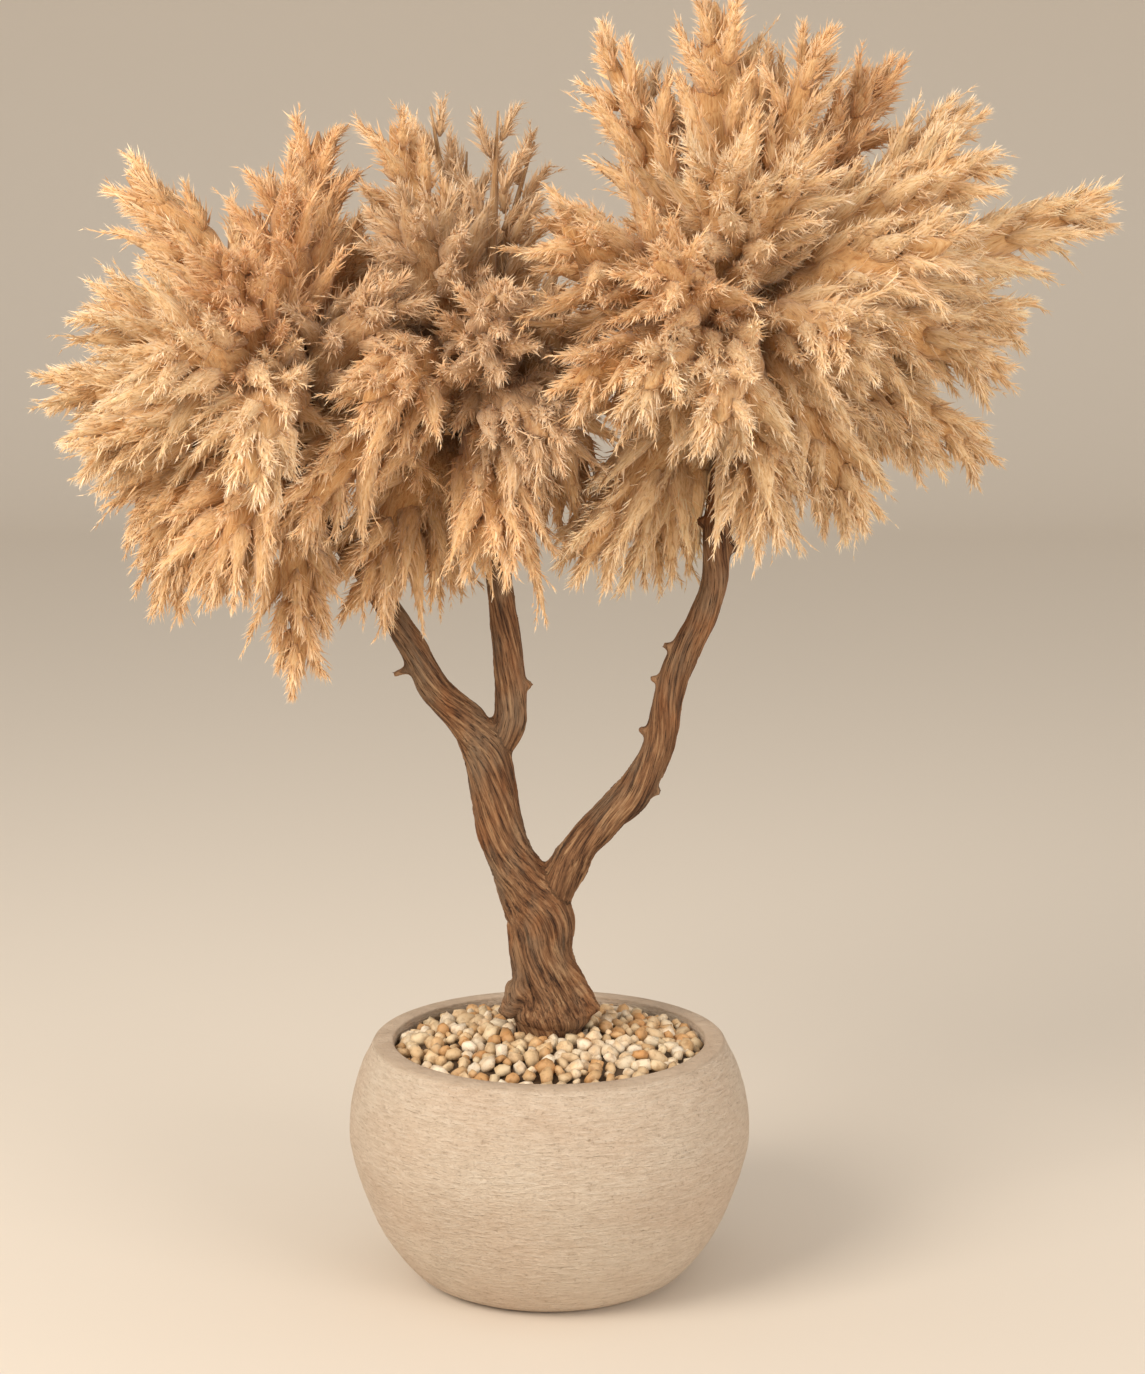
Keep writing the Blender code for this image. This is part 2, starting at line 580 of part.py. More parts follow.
def make_plumes():
    """Joins each plume, with what forks from it, into one body, and returns the holes for the foam balls."""
    crown = Crown()
    rnd = random.Random(SEED)
    looks = ("plume_cream", "plume_wheat", "plume_cream", "plume_grey", "plume_wheat")
    names = list(dict.fromkeys(spec[0] for spec in PLUMES))
    cutters = {holder: [] for holder in HOLDERS}
    for number, name in enumerate(names):
        rows = [k for k, spec in enumerate(PLUMES) if spec[0] == name]
        pieces = [piece for k in rows for piece in plume_shoot(crown, k, rnd)]
        plume = pieces[0]
        apply_boolean(plume, "UNION", pieces[1:])
        plume.data.materials.clear()
        plume.data.materials.append(material(looks[number % len(looks)]))
        inner, start = crown.lines[rows[0]][:2]
        way = (start - inner) / np.linalg.norm(start - inner)
        cutter = bmesh.new()
        hole = [inner - way * 2 * GAP, start + way * 0.02]
        sweep(cutter, hole, [STEM_RADIUS + 1.3 * GAP] * 2, CORE_SIDES + 1)
        cutters[PLUMES[rows[0]][1]].append(object_from(cutter, "hole_" + name))
    return cutters


def make_foam(cutters):
    """A ball of dry foam on each branch tip, with a plain hole for each stem and one for the branch."""
    for holder, (centre, radius) in HOLDERS.items():
        bm = bmesh.new()
        bmesh.ops.create_icosphere(bm, subdivisions=2, radius=radius)
        bmesh.ops.translate(bm, verts=bm.verts, vec=centre)
        ball = object_from(bm, "foam_" + holder)
        neck, end = tenon_route(BRANCHES[holder], holder)
        way = (end - neck) / np.linalg.norm(end - neck)
        socket = bmesh.new()
        sweep(socket, [neck - way * 0.02, end + way * 2 * GAP], [TENON_RADIUS + 1.3 * GAP] * 2, WOOD_SIDES)
        cutters[holder].append(object_from(socket, "socket_" + holder))
        apply_boolean(ball, "DIFFERENCE", cutters[holder])
        ball.data.materials.clear()
        ball.data.materials.append(material("foam"))


remove_everything()
make_pot()
make_fill()
make_gravel()
make_trunk()
make_foam(make_plumes())
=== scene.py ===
"""Looks of the pampas grass tree: fluffy plumes, bark, pebbles and the stoneware pot.

Metres, +Z up, the front faces -Y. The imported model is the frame, and every new piece
stands where its solid stands.
"""
import math

import bmesh
import bpy
import numpy as np
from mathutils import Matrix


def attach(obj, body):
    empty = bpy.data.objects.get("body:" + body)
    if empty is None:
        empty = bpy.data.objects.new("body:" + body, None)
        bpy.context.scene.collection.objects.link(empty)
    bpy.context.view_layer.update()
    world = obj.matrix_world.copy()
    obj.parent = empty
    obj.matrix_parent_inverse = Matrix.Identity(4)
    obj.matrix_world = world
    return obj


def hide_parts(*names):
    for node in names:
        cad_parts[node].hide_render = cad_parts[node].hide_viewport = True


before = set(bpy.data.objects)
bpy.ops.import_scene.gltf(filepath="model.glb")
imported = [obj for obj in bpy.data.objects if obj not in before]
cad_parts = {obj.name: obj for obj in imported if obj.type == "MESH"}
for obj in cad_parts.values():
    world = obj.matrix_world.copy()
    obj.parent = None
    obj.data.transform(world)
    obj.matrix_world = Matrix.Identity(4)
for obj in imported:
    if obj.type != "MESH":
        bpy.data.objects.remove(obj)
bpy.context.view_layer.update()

MM = 0.001
SEED = 11

# Camera, found from the pot's rim and base in the photograph
CAMERA_PLACE = (0.024, -3.0, 1.138)
CAMERA_DOWN = math.radians(9.8)
CAMERA_LENS = 78.6
CAMERA_SENSOR = 36
CAMERA_REACH = 60

# Foam balls on the left, middle and right branch tips: centre and radius
HOLDERS = {
    "L": ((-0.255, -0.020, 0.887), 0.044),
    "M": ((-0.065, 0.030, 0.900), 0.044),
    "R": ((0.181, 0.000, 0.965), 0.056),
}

# Plumes: name, tip, half width of the fluff, rise before the arch, tint, fullness. The name has
# the letter of its foam ball, after a B at the back. Rows of one name fork from one stem.
PLUMES = [
    ("L1", (-0.420, 0.030, 1.130), 0.066, 0.40, "wheat", 1.0),
    ("L2", (-0.435, -0.060, 1.010), 0.064, 0.05, "cream", 1.0),
    ("L3", (-0.490, 0.020, 0.920), 0.060, 0.10, "cream", 1.0),
    ("L4", (-0.360, -0.210, 0.975), 0.085, 0.12, "cream", 1.0),
    ("L5", (-0.445, -0.090, 0.865), 0.056, 0.20, "cream", 1.0),
    ("L6", (-0.425, 0.050, 0.775), 0.062, 0.25, "wheat", 1.0),
    ("L7", (-0.380, -0.050, 0.725), 0.060, 0.25, "wheat", 1.0),
    ("L8", (-0.305, -0.170, 0.755), 0.066, 0.15, "wheat", 1.0),
    ("L9", (-0.240, -0.110, 0.650), 0.048, 0.00, "wheat", 0.9),
    ("L10", (-0.270, -0.260, 0.855), 0.064, 0.40, "cream", 1.0),
    ("L11", (-0.230, 0.050, 1.175), 0.060, 0.00, "orange", 1.0),
    ("L11", (-0.205, 0.130, 1.080), 0.074, 0.05, "wheat", 1.0),
    ("L12", (-0.250, -0.090, 1.125), 0.070, 0.00, "orange", 1.0),
    ("L13", (-0.300, -0.180, 1.060), 0.062, 0.00, "orange", 1.0),
    ("L14", (-0.145, -0.150, 1.015), 0.068, 0.10, "grey", 1.0),
    ("L14", (-0.150, 0.020, 0.830), 0.080, 0.10, "wheat", 1.0),
    ("M1", (-0.155, 0.000, 1.180), 0.066, 0.00, "wheat", 0.9),
    ("M2", (-0.120, 0.090, 1.200), 0.044, 0.00, "grey", 0.5),
    ("M2", (-0.085, 0.140, 1.155), 0.044, 0.00, "grey", 0.5),
    ("M3", (-0.050, 0.040, 1.195), 0.048, 0.00, "grey", 0.5),
    ("M3", (-0.015, 0.090, 1.165), 0.046, 0.00, "grey", 0.5),
    ("M4", (-0.135, -0.120, 1.100), 0.080, 0.00, "grey", 1.0),
    ("M5", (-0.050, -0.240, 1.025), 0.062, 0.00, "grey", 1.0),
    ("M6", (-0.170, -0.210, 0.925), 0.070, 0.25, "wheat", 1.0),
    ("M7", (-0.235, -0.160, 0.805), 0.076, 0.30, "wheat", 1.0),
    ("M8", (-0.040, -0.150, 0.775), 0.074, 0.15, "wheat", 1.0),
    ("M9", (-0.180, -0.060, 0.715), 0.064, 0.20, "wheat", 1.0),
    ("M9", (-0.110, 0.030, 0.735), 0.066, 0.10, "wheat", 1.0),
    ("M11", (0.000, -0.220, 0.895), 0.070, 0.10, "grey", 1.0),
    ("M12", (0.020, -0.100, 0.995), 0.072, 0.05, "grey", 1.0),
    ("M12", (0.015, 0.000, 0.810), 0.076, 0.10, "wheat", 1.0),
    ("R1", (0.050, 0.020, 1.270), 0.060, 0.00, "wheat", 0.8),
    ("R1", (0.095, 0.100, 1.225), 0.052, 0.00, "grey", 0.7),
    ("R3", (0.165, 0.030, 1.300), 0.080, 0.00, "wheat", 1.0),
    ("R5", (0.265, 0.000, 1.270), 0.052, 0.00, "wheat", 0.9),
    ("R5", (0.225, 0.100, 1.245), 0.052, 0.00, "wheat", 0.8),
    ("R6", (0.340, 0.060, 1.240), 0.062, 0.00, "orange", 0.9),
    ("R7", (0.415, 0.010, 1.200), 0.060, 0.00, "cream", 0.9),
    ("R8", (0.420, -0.090, 1.155), 0.068, 0.05, "cream", 1.0),
    ("R9", (0.380, -0.160, 1.070), 0.074, 0.10, "cream", 1.0),
    ("R10", (0.560, 0.020, 1.110), 0.068, 0.02, "cream", 0.9),
    ("R11", (0.490, 0.100, 0.985), 0.060, 0.10, "cream", 0.9),
    ("R12", (0.445, -0.050, 0.935), 0.056, 0.25, "cream", 1.0),
    ("R13", (0.445, 0.060, 0.840), 0.052, 0.15, "cream", 0.9),
    ("R13", (0.375, 0.000, 0.855), 0.044, 0.15, "cream", 0.8),
    ("R14", (0.295, -0.060, 0.800), 0.060, 0.20, "cream", 1.0),
    ("R15", (0.210, -0.140, 0.800), 0.062, 0.10, "cream", 1.0),
    # R16 has the paler cream tint to lighten the underside of the crown: painted light.
    ("R16", (0.095, 0.030, 0.745), 0.080, 0.15, "cream", 1.0),
    ("R16", (0.035, -0.100, 0.765), 0.072, 0.15, "cream", 1.0),
    ("R18", (0.015, -0.220, 1.085), 0.090, 0.00, "wheat", 1.0),
    ("R19", (0.165, -0.160, 1.145), 0.072, 0.00, "cream", 1.0),
    ("R19", (0.245, -0.130, 1.140), 0.064, 0.00, "cream", 1.0),
    ("R21", (0.155, -0.320, 0.915), 0.072, 0.10, "cream", 1.0),
    ("R22", (0.090, -0.310, 0.945), 0.066, 0.10, "cream", 1.0),
    ("R22", (0.025, -0.240, 0.945), 0.074, 0.10, "wheat", 1.0),
    ("R23", (0.280, -0.220, 0.985), 0.070, 0.05, "cream", 1.0),
    ("R26", (0.100, -0.280, 1.055), 0.070, 0.00, "wheat", 1.0),
    ("BL1", (-0.405, 0.220, 1.045), 0.078, 0.00, "wheat", 0.95),
    ("BL1", (-0.240, 0.260, 0.965), 0.072, 0.00, "wheat", 0.85),
    ("BL2", (-0.390, 0.230, 0.795), 0.078, 0.15, "wheat", 0.95),
    ("BL2", (-0.235, 0.200, 0.765), 0.070, 0.15, "wheat", 0.85),
    ("BM1", (-0.130, 0.240, 1.070), 0.078, 0.00, "cream", 0.95),
    ("BM1", (-0.015, 0.220, 1.065), 0.074, 0.00, "wheat", 0.85),
    ("BM2", (-0.140, 0.250, 0.785), 0.078, 0.15, "wheat", 0.95),
    ("BM2", (-0.020, 0.280, 0.890), 0.072, 0.10, "wheat", 0.85),
    ("BR1", (0.095, 0.280, 1.060), 0.084, 0.00, "wheat", 0.95),
    ("BR2", (0.270, 0.270, 1.135), 0.084, 0.00, "cream", 0.95),
    ("BR3", (0.420, 0.250, 0.965), 0.080, 0.10, "cream", 0.95),
    ("BR3", (0.355, 0.200, 0.830), 0.070, 0.15, "cream", 0.85),
    ("BR4", (0.230, 0.300, 0.855), 0.084, 0.10, "wheat", 0.95),
    ("BR4", (0.105, 0.210, 0.800), 0.074, 0.15, "wheat", 0.85),
]
ARCH_STRENGTH = 1.6
GOLDEN_ANGLE = math.radians(137.5)

# Fluff colours: root, middle and tip of the hairs. The dark root colour is painted shade
# for the inside of the plume; the pale tip is the down's own colour.
TINTS_WITH_ROOT_SHADE = {
    "cream": ("#DAA96F", "#FCE2B9", "#FFF8EB"),
    "wheat": ("#D29F65", "#F5D3A5", "#FFF1DC"),
    "orange": ("#C8925B", "#EDC596", "#FDE9CC"),
    "grey": ("#BF976B", "#E8CAA5", "#FAEDD8"),
}


def linear(hex_colour):
    """An sRGB hex colour as linear RGB: a straight line in the darks, and above them a power."""
    srgb = np.array([int(hex_colour[i:i + 2], 16) / 255 for i in (1, 3, 5)])
    return np.where(srgb <= 0.04045, srgb / 12.92, ((srgb + 0.055) / 1.055) ** 2.4)


def rgba(hex_colour):
    """The linear colour with full opacity."""
    return (*linear(hex_colour), 1.0)


# Kinds of shader nodes that are used often, and the settings of a colour mix
RAMP = "ShaderNodeValToRGB"
MIX = "ShaderNodeMix"
BUMP = "ShaderNodeBump"
BLENDED = {"data_type": "RGBA"}
MULTIPLIED = {"data_type": "RGBA", "blend_type": "MULTIPLY"}


def add(tree, kind, out, inputs=None, stops=(), **settings):
    """Adds a shader node and returns its output of that name or number.

    Settings are the node's properties, inputs are values or other nodes' outputs, and stops
    are a colour ramp's places and hex colours.
    """
    node = tree.nodes.new(kind)
    for key, value in settings.items():
        setattr(node, key, value)
    for key, value in (inputs or {}).items():
        if isinstance(value, bpy.types.NodeSocket):
            tree.links.new(value, node.inputs[key])
        else:
            node.inputs[key].default_value = value
    if stops:
        points = node.color_ramp.elements
        while len(points) < len(stops):
            points.new(0.5)
        for point, (place, colour) in zip(points, stops):
            point.position = place
            point.color = rgba(colour)
    return node.outputs[out]


def pattern(tree, cells, detail, roughness=0.55, attribute=None):
    """A noise with so many cells to a unit on each axis, on object coordinates or a mesh attribute."""
    if attribute:
        place = add(tree, "ShaderNodeAttribute", "Vector", attribute_name=attribute)
    else:
        place = add(tree, "ShaderNodeTexCoord", "Object")
    place = add(tree, "ShaderNodeMapping", "Vector", {"Vector": place, "Scale": cells})
    return add(tree, "ShaderNodeTexNoise", "Fac",
               {"Vector": place, "Scale": 1.0, "Detail": detail, "Roughness": roughness})


def new_material(name, roughness):
    """A material with only its Principled shader: returns it, its tree, and the shader."""
    mat = bpy.data.materials.new(name)
    mat.use_nodes = True
    tree = mat.node_tree
    shader = tree.nodes["Principled BSDF"]
    shader.inputs["Roughness"].default_value = roughness
    return mat, tree, shader


def connect(tree, shader, colour, normal):
    """Gives the shader its colour and its relief."""
    tree.links.new(colour, shader.inputs["Base Color"])
    tree.links.new(normal, shader.inputs["Normal"])


def fluff_material():
    """Dried pampas down, as it grows: matt and soft to the eye, combed in fine streaks.

    Each tuft and hair brings its own colour, with painted shade in the dark root colour. The
    streaks are 2 mm across and 17 mm long, coarser than the real down so that they show. A
    weak sheen softens the edges.
    """
    mat, tree, shader = new_material("dry_grass_fluff", 0.85)
    colour = add(tree, "ShaderNodeAttribute", "Color", attribute_name="tone")
    combed = pattern(tree, (0.50, 0.50, 0.06), 4.0, 0.65, "grain")
    streaks = add(tree, RAMP, "Color", {"Fac": combed},
                  [(0.34, "#C29F78"), (0.47, "#F0E0C8"), (0.62, "#FFFFFF")])
    streaked = add(tree, MIX, 2, {0: 0.75, 6: colour, 7: streaks}, **MULTIPLIED)
    relief = add(tree, BUMP, "Normal", {"Height": combed, "Strength": 1.0, "Distance": 3.0 * MM})
    connect(tree, shader, streaked, relief)
    shader.inputs["Specular IOR Level"].default_value = 0.15
    shader.inputs["Sheen Weight"].default_value = 0.25
    shader.inputs["Sheen Roughness"].default_value = 0.5
    return mat


def bark_material():
    """Weathered fibrous wood: dull brown strands, orange and grey patches, and dark cracks.

    The fibres are 4 mm across and 55 mm long, the fine ones 1.3 mm and 23 mm, which is coarser
    than life so that they show. The patches are 43 to 60 mm across and 100 to 110 mm long.
    """
    mat, tree, shader = new_material("weathered_bark", 0.85)
    fibres = pattern(tree, (5, 5, 9), 6.0, 0.65, "grain")
    fine = pattern(tree, (15, 15, 22), 5.0, 0.7, "grain")
    strands = add(tree, RAMP, "Color", {"Fac": fibres},
                  [(0.34, "#2E1D12"), (0.44, "#5F412B"), (0.54, "#835E40"), (0.68, "#A88662")])
    warm = add(tree, RAMP, "Color", {"Fac": fine},
               [(0.32, "#5A2D14"), (0.52, "#9E5D2E"), (0.75, "#C08650")])
    grey = add(tree, RAMP, "Color", {"Fac": fine},
               [(0.32, "#493829"), (0.52, "#84705A"), (0.75, "#A8947B")])
    to_warm = add(tree, RAMP, "Color", {"Fac": pattern(tree, (17, 17, 9), 3.0)},
                  [(0.52, "#000000"), (0.66, "#9A9A9A")])
    to_grey = add(tree, RAMP, "Color", {"Fac": pattern(tree, (23, 23, 10), 4.0)},
                  [(0.48, "#000000"), (0.62, "#B8B8B8")])
    cracks = add(tree, RAMP, "Color", {"Fac": fine}, [(0.36, "#2A2420"), (0.46, "#FFFFFF")])
    colour = add(tree, MIX, 2, {0: to_warm, 6: strands, 7: warm}, **BLENDED)
    colour = add(tree, MIX, 2, {0: to_grey, 6: colour, 7: grey}, **BLENDED)
    colour = add(tree, MIX, 2, {0: 0.8, 6: colour, 7: cracks}, **MULTIPLIED)
    relief = add(tree, BUMP, "Normal", {"Height": fibres, "Strength": 0.8, "Distance": 2.0 * MM})
    relief = add(tree, BUMP, "Normal",
                 {"Height": fine, "Strength": 0.8, "Distance": 1.1 * MM, "Normal": relief})
    connect(tree, shader, colour, relief)
    shader.inputs["Specular IOR Level"].default_value = 0.25
    return mat


def stoneware_material():
    """Unglazed cream stoneware, brushed round by hand: dry, chalky and scratched, smoother at the rim.

    The brush ridges are 17 mm long and 2.4 mm high, and the crumbs 5 mm and 2.6 mm, coarser than
    the real grit so that they show. The clouds of colour are 140 mm and 80 mm, at the rim 25 mm.
    """
    mat, tree, shader = new_material("brushed_stoneware", 0.9)
    ridges = pattern(tree, (60, 60, 420), 5.0, 0.68)
    crumbs = pattern(tree, (210, 210, 380), 4.0, 0.65)
    body = add(tree, RAMP, "Color", {"Fac": ridges},
               [(0.34, "#BDA993"), (0.48, "#D0BDA7"), (0.64, "#DECFBC")])
    clouds = add(tree, RAMP, "Color", {"Fac": pattern(tree, (7, 7, 12), 4.0)},
                 [(0.35, "#C8AB92"), (0.65, "#D5C5B1")])
    pits = add(tree, RAMP, "Color", {"Fac": crumbs}, [(0.31, "#B09C86"), (0.43, "#FFFFFF")])
    body = add(tree, MIX, 2, {0: 0.35, 6: body, 7: clouds}, **BLENDED)
    body = add(tree, MIX, 2, {0: 0.4, 6: body, 7: pits}, **MULTIPLIED)
    height = add(tree, "ShaderNodeSeparateXYZ", "Z", {"Vector": add(tree, "ShaderNodeTexCoord", "Object")})
    at_rim = add(tree, "ShaderNodeMapRange", "Result",
                 {"Value": height, "From Min": RIM_FADE[0], "From Max": RIM_FADE[1]})
    rim = add(tree, RAMP, "Color", {"Fac": pattern(tree, (40, 40, 40), 4.0)},
              [(0.35, "#B8A38D"), (0.65, "#C5B19B")])
    colour = add(tree, MIX, 2, {0: at_rim, 6: body, 7: rim}, **BLENDED)
    relief = add(tree, BUMP, "Normal", {"Height": ridges, "Strength": 1.0, "Distance": 3.6 * MM})
    relief = add(tree, BUMP, "Normal",
                 {"Height": crumbs, "Strength": 1.0, "Distance": 1.8 * MM, "Normal": relief})
    connect(tree, shader, colour, relief)
    return mat


def pebble_material():
    """River pebbles, tumbled smooth: dull stone, each in its own tone, with 7 mm veins and 2 mm grain."""
    mat, tree, shader = new_material("river_pebbles", 0.62)
    colour = add(tree, "ShaderNodeAttribute", "Color", attribute_name="tone")
    veins = add(tree, RAMP, "Color", {"Fac": pattern(tree, (150, 150, 150), 5.0)},
                [(0.32, "#A58F78"), (0.52, "#FFFFFF")])
    veined = add(tree, MIX, 2, {0: 0.55, 6: colour, 7: veins}, **MULTIPLIED)
    relief = add(tree, BUMP, "Normal",
                 {"Height": pattern(tree, (500, 500, 500), 3.0), "Strength": 0.3, "Distance": 0.4 * MM})
    connect(tree, shader, veined, relief)
    return mat


def crumbly_material(name, dark, light, cells):
    """Plaster or dry foam: matt and crumbly, between two colours, with so many cells to a metre.

    The plaster's 90 cells give lumps of 11 mm, and the foam's 140 give pores of 7 mm.
    """
    mat, tree, shader = new_material(name, 0.95)
    grain = pattern(tree, (cells, cells, cells), 6.0, 0.7)
    colour = add(tree, RAMP, "Color", {"Fac": grain}, [(0.35, dark), (0.65, light)])
    relief = add(tree, BUMP, "Normal", {"Height": grain, "Strength": 0.6, "Distance": 1.0 * MM})
    connect(tree, shader, colour, relief)
    return mat


def set_attribute(mesh, name, kind, field, values):
    """Gives each corner of a mesh its value of an attribute, for the materials to read."""
    layer = mesh.attributes.new(name, kind, "POINT")
    layer.data.foreach_set(field, np.asarray(values, np.float32).ravel())


def mesh_object(name, verts, faces, mat, tones=None, grain=None, smooth=True):
    """A named mesh from arrays: faces is a list of index arrays, one for each face size.

    Smooth shading covers all faces, or only the four-sided ones where smooth is "quads".
    """
    mesh = bpy.data.meshes.new(name)
    mesh.vertices.add(len(verts))
    mesh.vertices.foreach_set("co", np.asarray(verts, np.float32).ravel())
    loops = np.concatenate([f.ravel() for f in faces]).astype(np.int32)
    sizes = np.concatenate([np.full(len(f), f.shape[1]) for f in faces])
    starts = np.concatenate([[0], np.cumsum(sizes)[:-1]]).astype(np.int32)
    mesh.loops.add(len(loops))
    mesh.loops.foreach_set("vertex_index", loops)
    mesh.polygons.add(len(sizes))
    mesh.polygons.foreach_set("loop_start", starts)
    mesh.update(calc_edges=True)
    flags = sizes == 4 if smooth == "quads" else np.ones(len(sizes), bool)
    mesh.polygons.foreach_set("use_smooth", flags)
    if tones is not None:
        opaque = np.column_stack([tones, np.ones(len(tones))])
        set_attribute(mesh, "tone", "FLOAT_COLOR", "color", opaque)
    if grain is not None:
        set_attribute(mesh, "grain", "FLOAT_VECTOR", "vector", grain)
    mesh.materials.append(mat)
    obj = bpy.data.objects.new(name, mesh)
    bpy.context.scene.collection.objects.link(obj)
    return obj


# Odd numbers that scatter the bits of a cell's coordinates and of the seed
SCATTER = (374761393, 668265263, 2147483647, 144269)
SCATTER_AGAIN = 1274126177
BITS_KEPT = 0xFFFFF


def lattice(cells, seed):
    """A repeatable random number from 0 to 1 for each integer cell, from its scattered bits."""
    mixed = cells[..., 0] * SCATTER[0] + cells[..., 1] * SCATTER[1]
    mixed = mixed + cells[..., 2] * SCATTER[2] + seed * SCATTER[3]
    mixed = (mixed ^ (mixed >> 13)) * SCATTER_AGAIN
    return ((mixed ^ (mixed >> 16)) & BITS_KEPT) / float(BITS_KEPT)


def value_noise(points, seed=0):
    """Smooth noise from 0 to 1: random numbers at whole coordinates, blended in between.

    The blend's weight on each axis is three times the square of the part past the whole
    number, less twice its cube.
    """
    points = np.asarray(points, float)
    base = np.floor(points).astype(np.int64)
    part = points - base
    part = part * part * (3 - 2 * part)
    total = np.zeros(points.shape[:-1])
    for corner in np.ndindex(2, 2, 2):
        weight = np.prod(np.where(np.array(corner) == 1, part, 1 - part), axis=-1)
        total += weight * lattice(base + np.array(corner), seed)
    return total


def ring_faces(rings, sides, offset=0):
    """Quads between neighbouring rings of a tube that closes round."""
    i = np.arange(rings - 1)[:, None] * sides
    k = np.arange(sides)[None]
    j = (k + 1) % sides
    return np.stack([i + k, i + j, i + sides + j, i + sides + k], -1).reshape(-1, 4) + offset


def end_faces(rings, sides, offset=0):
    """The first and the last ring of such a tube, each as one face that looks outwards."""
    k = np.arange(sides)[None]
    return [k[:, ::-1] + offset, k + offset + (rings - 1) * sides]


def frames_along(points):
    """The tangents of a route and two sides for each point, carried along without twist.

    Each side is the one before it less its part along the tangent, made one unit long.
    """
    steps = np.gradient(points, axis=0)
    tangents = steps / np.linalg.norm(steps, axis=1)[:, None]
    near_y = abs(tangents[0][1]) >= 0.8
    side = np.array([1.0, 0.0, 0.0]) if near_y else np.array([0.0, 1.0, 0.0])
    sides = np.empty_like(points)
    for i, tangent in enumerate(tangents):
        side = side - tangent * side.dot(tangent)
        side = side / np.linalg.norm(side)
        sides[i] = side
    return tangents, sides, np.cross(tangents, sides)


def circles_along(points, sides):
    """A circle of radius one for each point of a route, from its two sides there."""
    _, first, second = frames_along(points)
    around = np.linspace(0, math.tau, sides, endpoint=False)[None, :, None]
    return np.cos(around) * first[:, None] + np.sin(around) * second[:, None]


def unit(vectors):
    """Each vector divided by its length."""
    return vectors / np.maximum(np.linalg.norm(vectors, axis=-1, keepdims=True), 1e-9)


def stem_lines():
    """Each plume's line: it leaves its foam ball straight out, then arches to the tip.

    A plume that forks from another's stem leaves the ball where that one does,
    halfway between the two directions.
    """
    stems, lines = {}, []
    for name, tip, _, rise, _, _ in PLUMES:
        centre, radius = HOLDERS[name.lstrip("B")[0]]
        centre, tip = np.array(centre), np.array(tip)
        way = unit(unit(tip - centre) + np.array([0, 0, rise * ARCH_STRENGTH]))
        if name in stems:
            start, first_way = stems[name]
            way = unit(way + first_way)
        else:
            start = centre + way * radius
            stems[name] = start, way
        lines.append((start, start + way * 0.5 * np.linalg.norm(tip - start), tip))
    return lines


def arch(line, t):
    """Points of a line at shares t of its course, pulled by its bend point.

    The start is weighted by the square of what is left, the tip by the square of the share,
    and the bend point by twice the product of the two.
    """
    start, bend, tip = line
    t = np.asarray(t, float)[:, None]
    return (1 - t) ** 2 * start + 2 * t * (1 - t) * bend + t * t * tip


def arch_way(line, t):
    """The unit tangents of that curve, from its two legs weighted by what is left and the share."""
    start, bend, tip = line
    t = np.asarray(t, float)[:, None]
    way = 2 * (1 - t) * (bend - start) + 2 * t * (tip - bend)
    return way / np.linalg.norm(way, axis=1)[:, None]


# Fluff: a plume is a soft core set with tufts. A tuft is a soft body with thin locks and hairs
# all over it and a few loose wisps, which carry down of their own. Pairs are (least, greatest).
# Sizes are (least, greatest) length and (least, greatest) thickness, in millimetres.
SWELL = (0.22, 0.60)
TAPER = (0.62, 0.62)
CORE_SHARE = 0.48
CORE_RINGS = 14
CORE_SIDES = 10
CORE_UNEVEN = (0.8, 1.2)
CORE_TONES = (0.65, 0.25)
STEM_THICK = 2.6 * MM
TUFTS_LEAST = 15
TUFTS_PER_METRE = 42
TUFT_START = 0.01
TUFT_SPAN = 0.91
TUFT_ROOT = 0.6
TUFT_SPREAD = math.radians(37)
SPREAD_VARIES = (0.55, 1.30)
TURN_VARIES = 0.4
TIP_CLOSES = 0.45
DROOP = 0.10
FLUFF_REACH = 0.66
REACH_VARIES = (0.70, 1.15)
REACH_MORE = 0.022
TUFT_SHADES = (0.91, 1.06)
PLUME_SHADES = (0.96, 1.04)
HAIR_SHADES = (0.9, 1.1)
HAIR_ROOT = 0.9
HAIR_DROOP = 0.12
END_CLOSES = 0.45
END_SHORTER = 0.35
SAG = (0.6, 2.2)
SWAY = 1.1
BODY_SHARE = 0.30
BODY_LIMITS = (7 * MM, 25 * MM)
BODY_VARIES = (0.85, 1.15)
BODY_UNEVEN = (0.68, 1.32)
BODY_SIDES = 6
BODY_PROFILE = [(0.00, 0.40), (0.15, 0.95), (0.36, 1.00), (0.61, 0.62), (0.83, 0.25)]
LOCKS = 20
LOCK_SIZE = (14, 26, 2.2, 3.6)
LOCK_OPENING = (14, 46)
LOCK_PLACES = (0.05, 0.85)
HAIRS = 72
HAIR_SIZE = (9, 18, 0.9, 1.5)
HAIR_OPENING = (26, 72)
HAIR_PLACES = (0.05, 0.95)
HAIR_CROWDING = 0.85
HAIR_PROFILE = [(0.0, 1.0)]
WISPS = 2
WISP_ROOTS = (0.40, 0.85)
WISP_LEAN = (0.2, 0.6)
WISP_SIZE = (26, 46, 2.0, 3.0)
WISP_FULL_RUN = 0.08
WISP_SHORTEST = 0.5
WISP_SAG = (0, 3)
WISP_SWAY = 2
WISP_PROFILE = [(0.0, 1.0), (0.5, 0.6)]
WISP_HAIRS = 7
DOWN_SIZE = (8, 14, 1.0, 1.6)
DOWN_OPENING = (25, 50)
DOWN_PLACES = (0.2, 1.0)
GRAIN_ROOM = 900
GRAVITY = np.array([0.0, 0.0, -1.0])
OFF_AXIS = np.array([0.31, 0.17, 0.93])
OFF_LINE = np.array([0.3, 0.9, 0.2])


def fluff_width(t):
    """A plume's width along its line, as a share of its greatest.

    It grows with a power of the run over the first stretch, and falls with a power of what is
    left over the last stretch. SWELL and TAPER hold the stretch and the power.
    """
    t = np.asarray(t, float)
    return np.minimum(1.0, t / SWELL[0]) ** SWELL[1] * np.minimum(1.0, (1 - t) / TAPER[0]) ** TAPER[1]


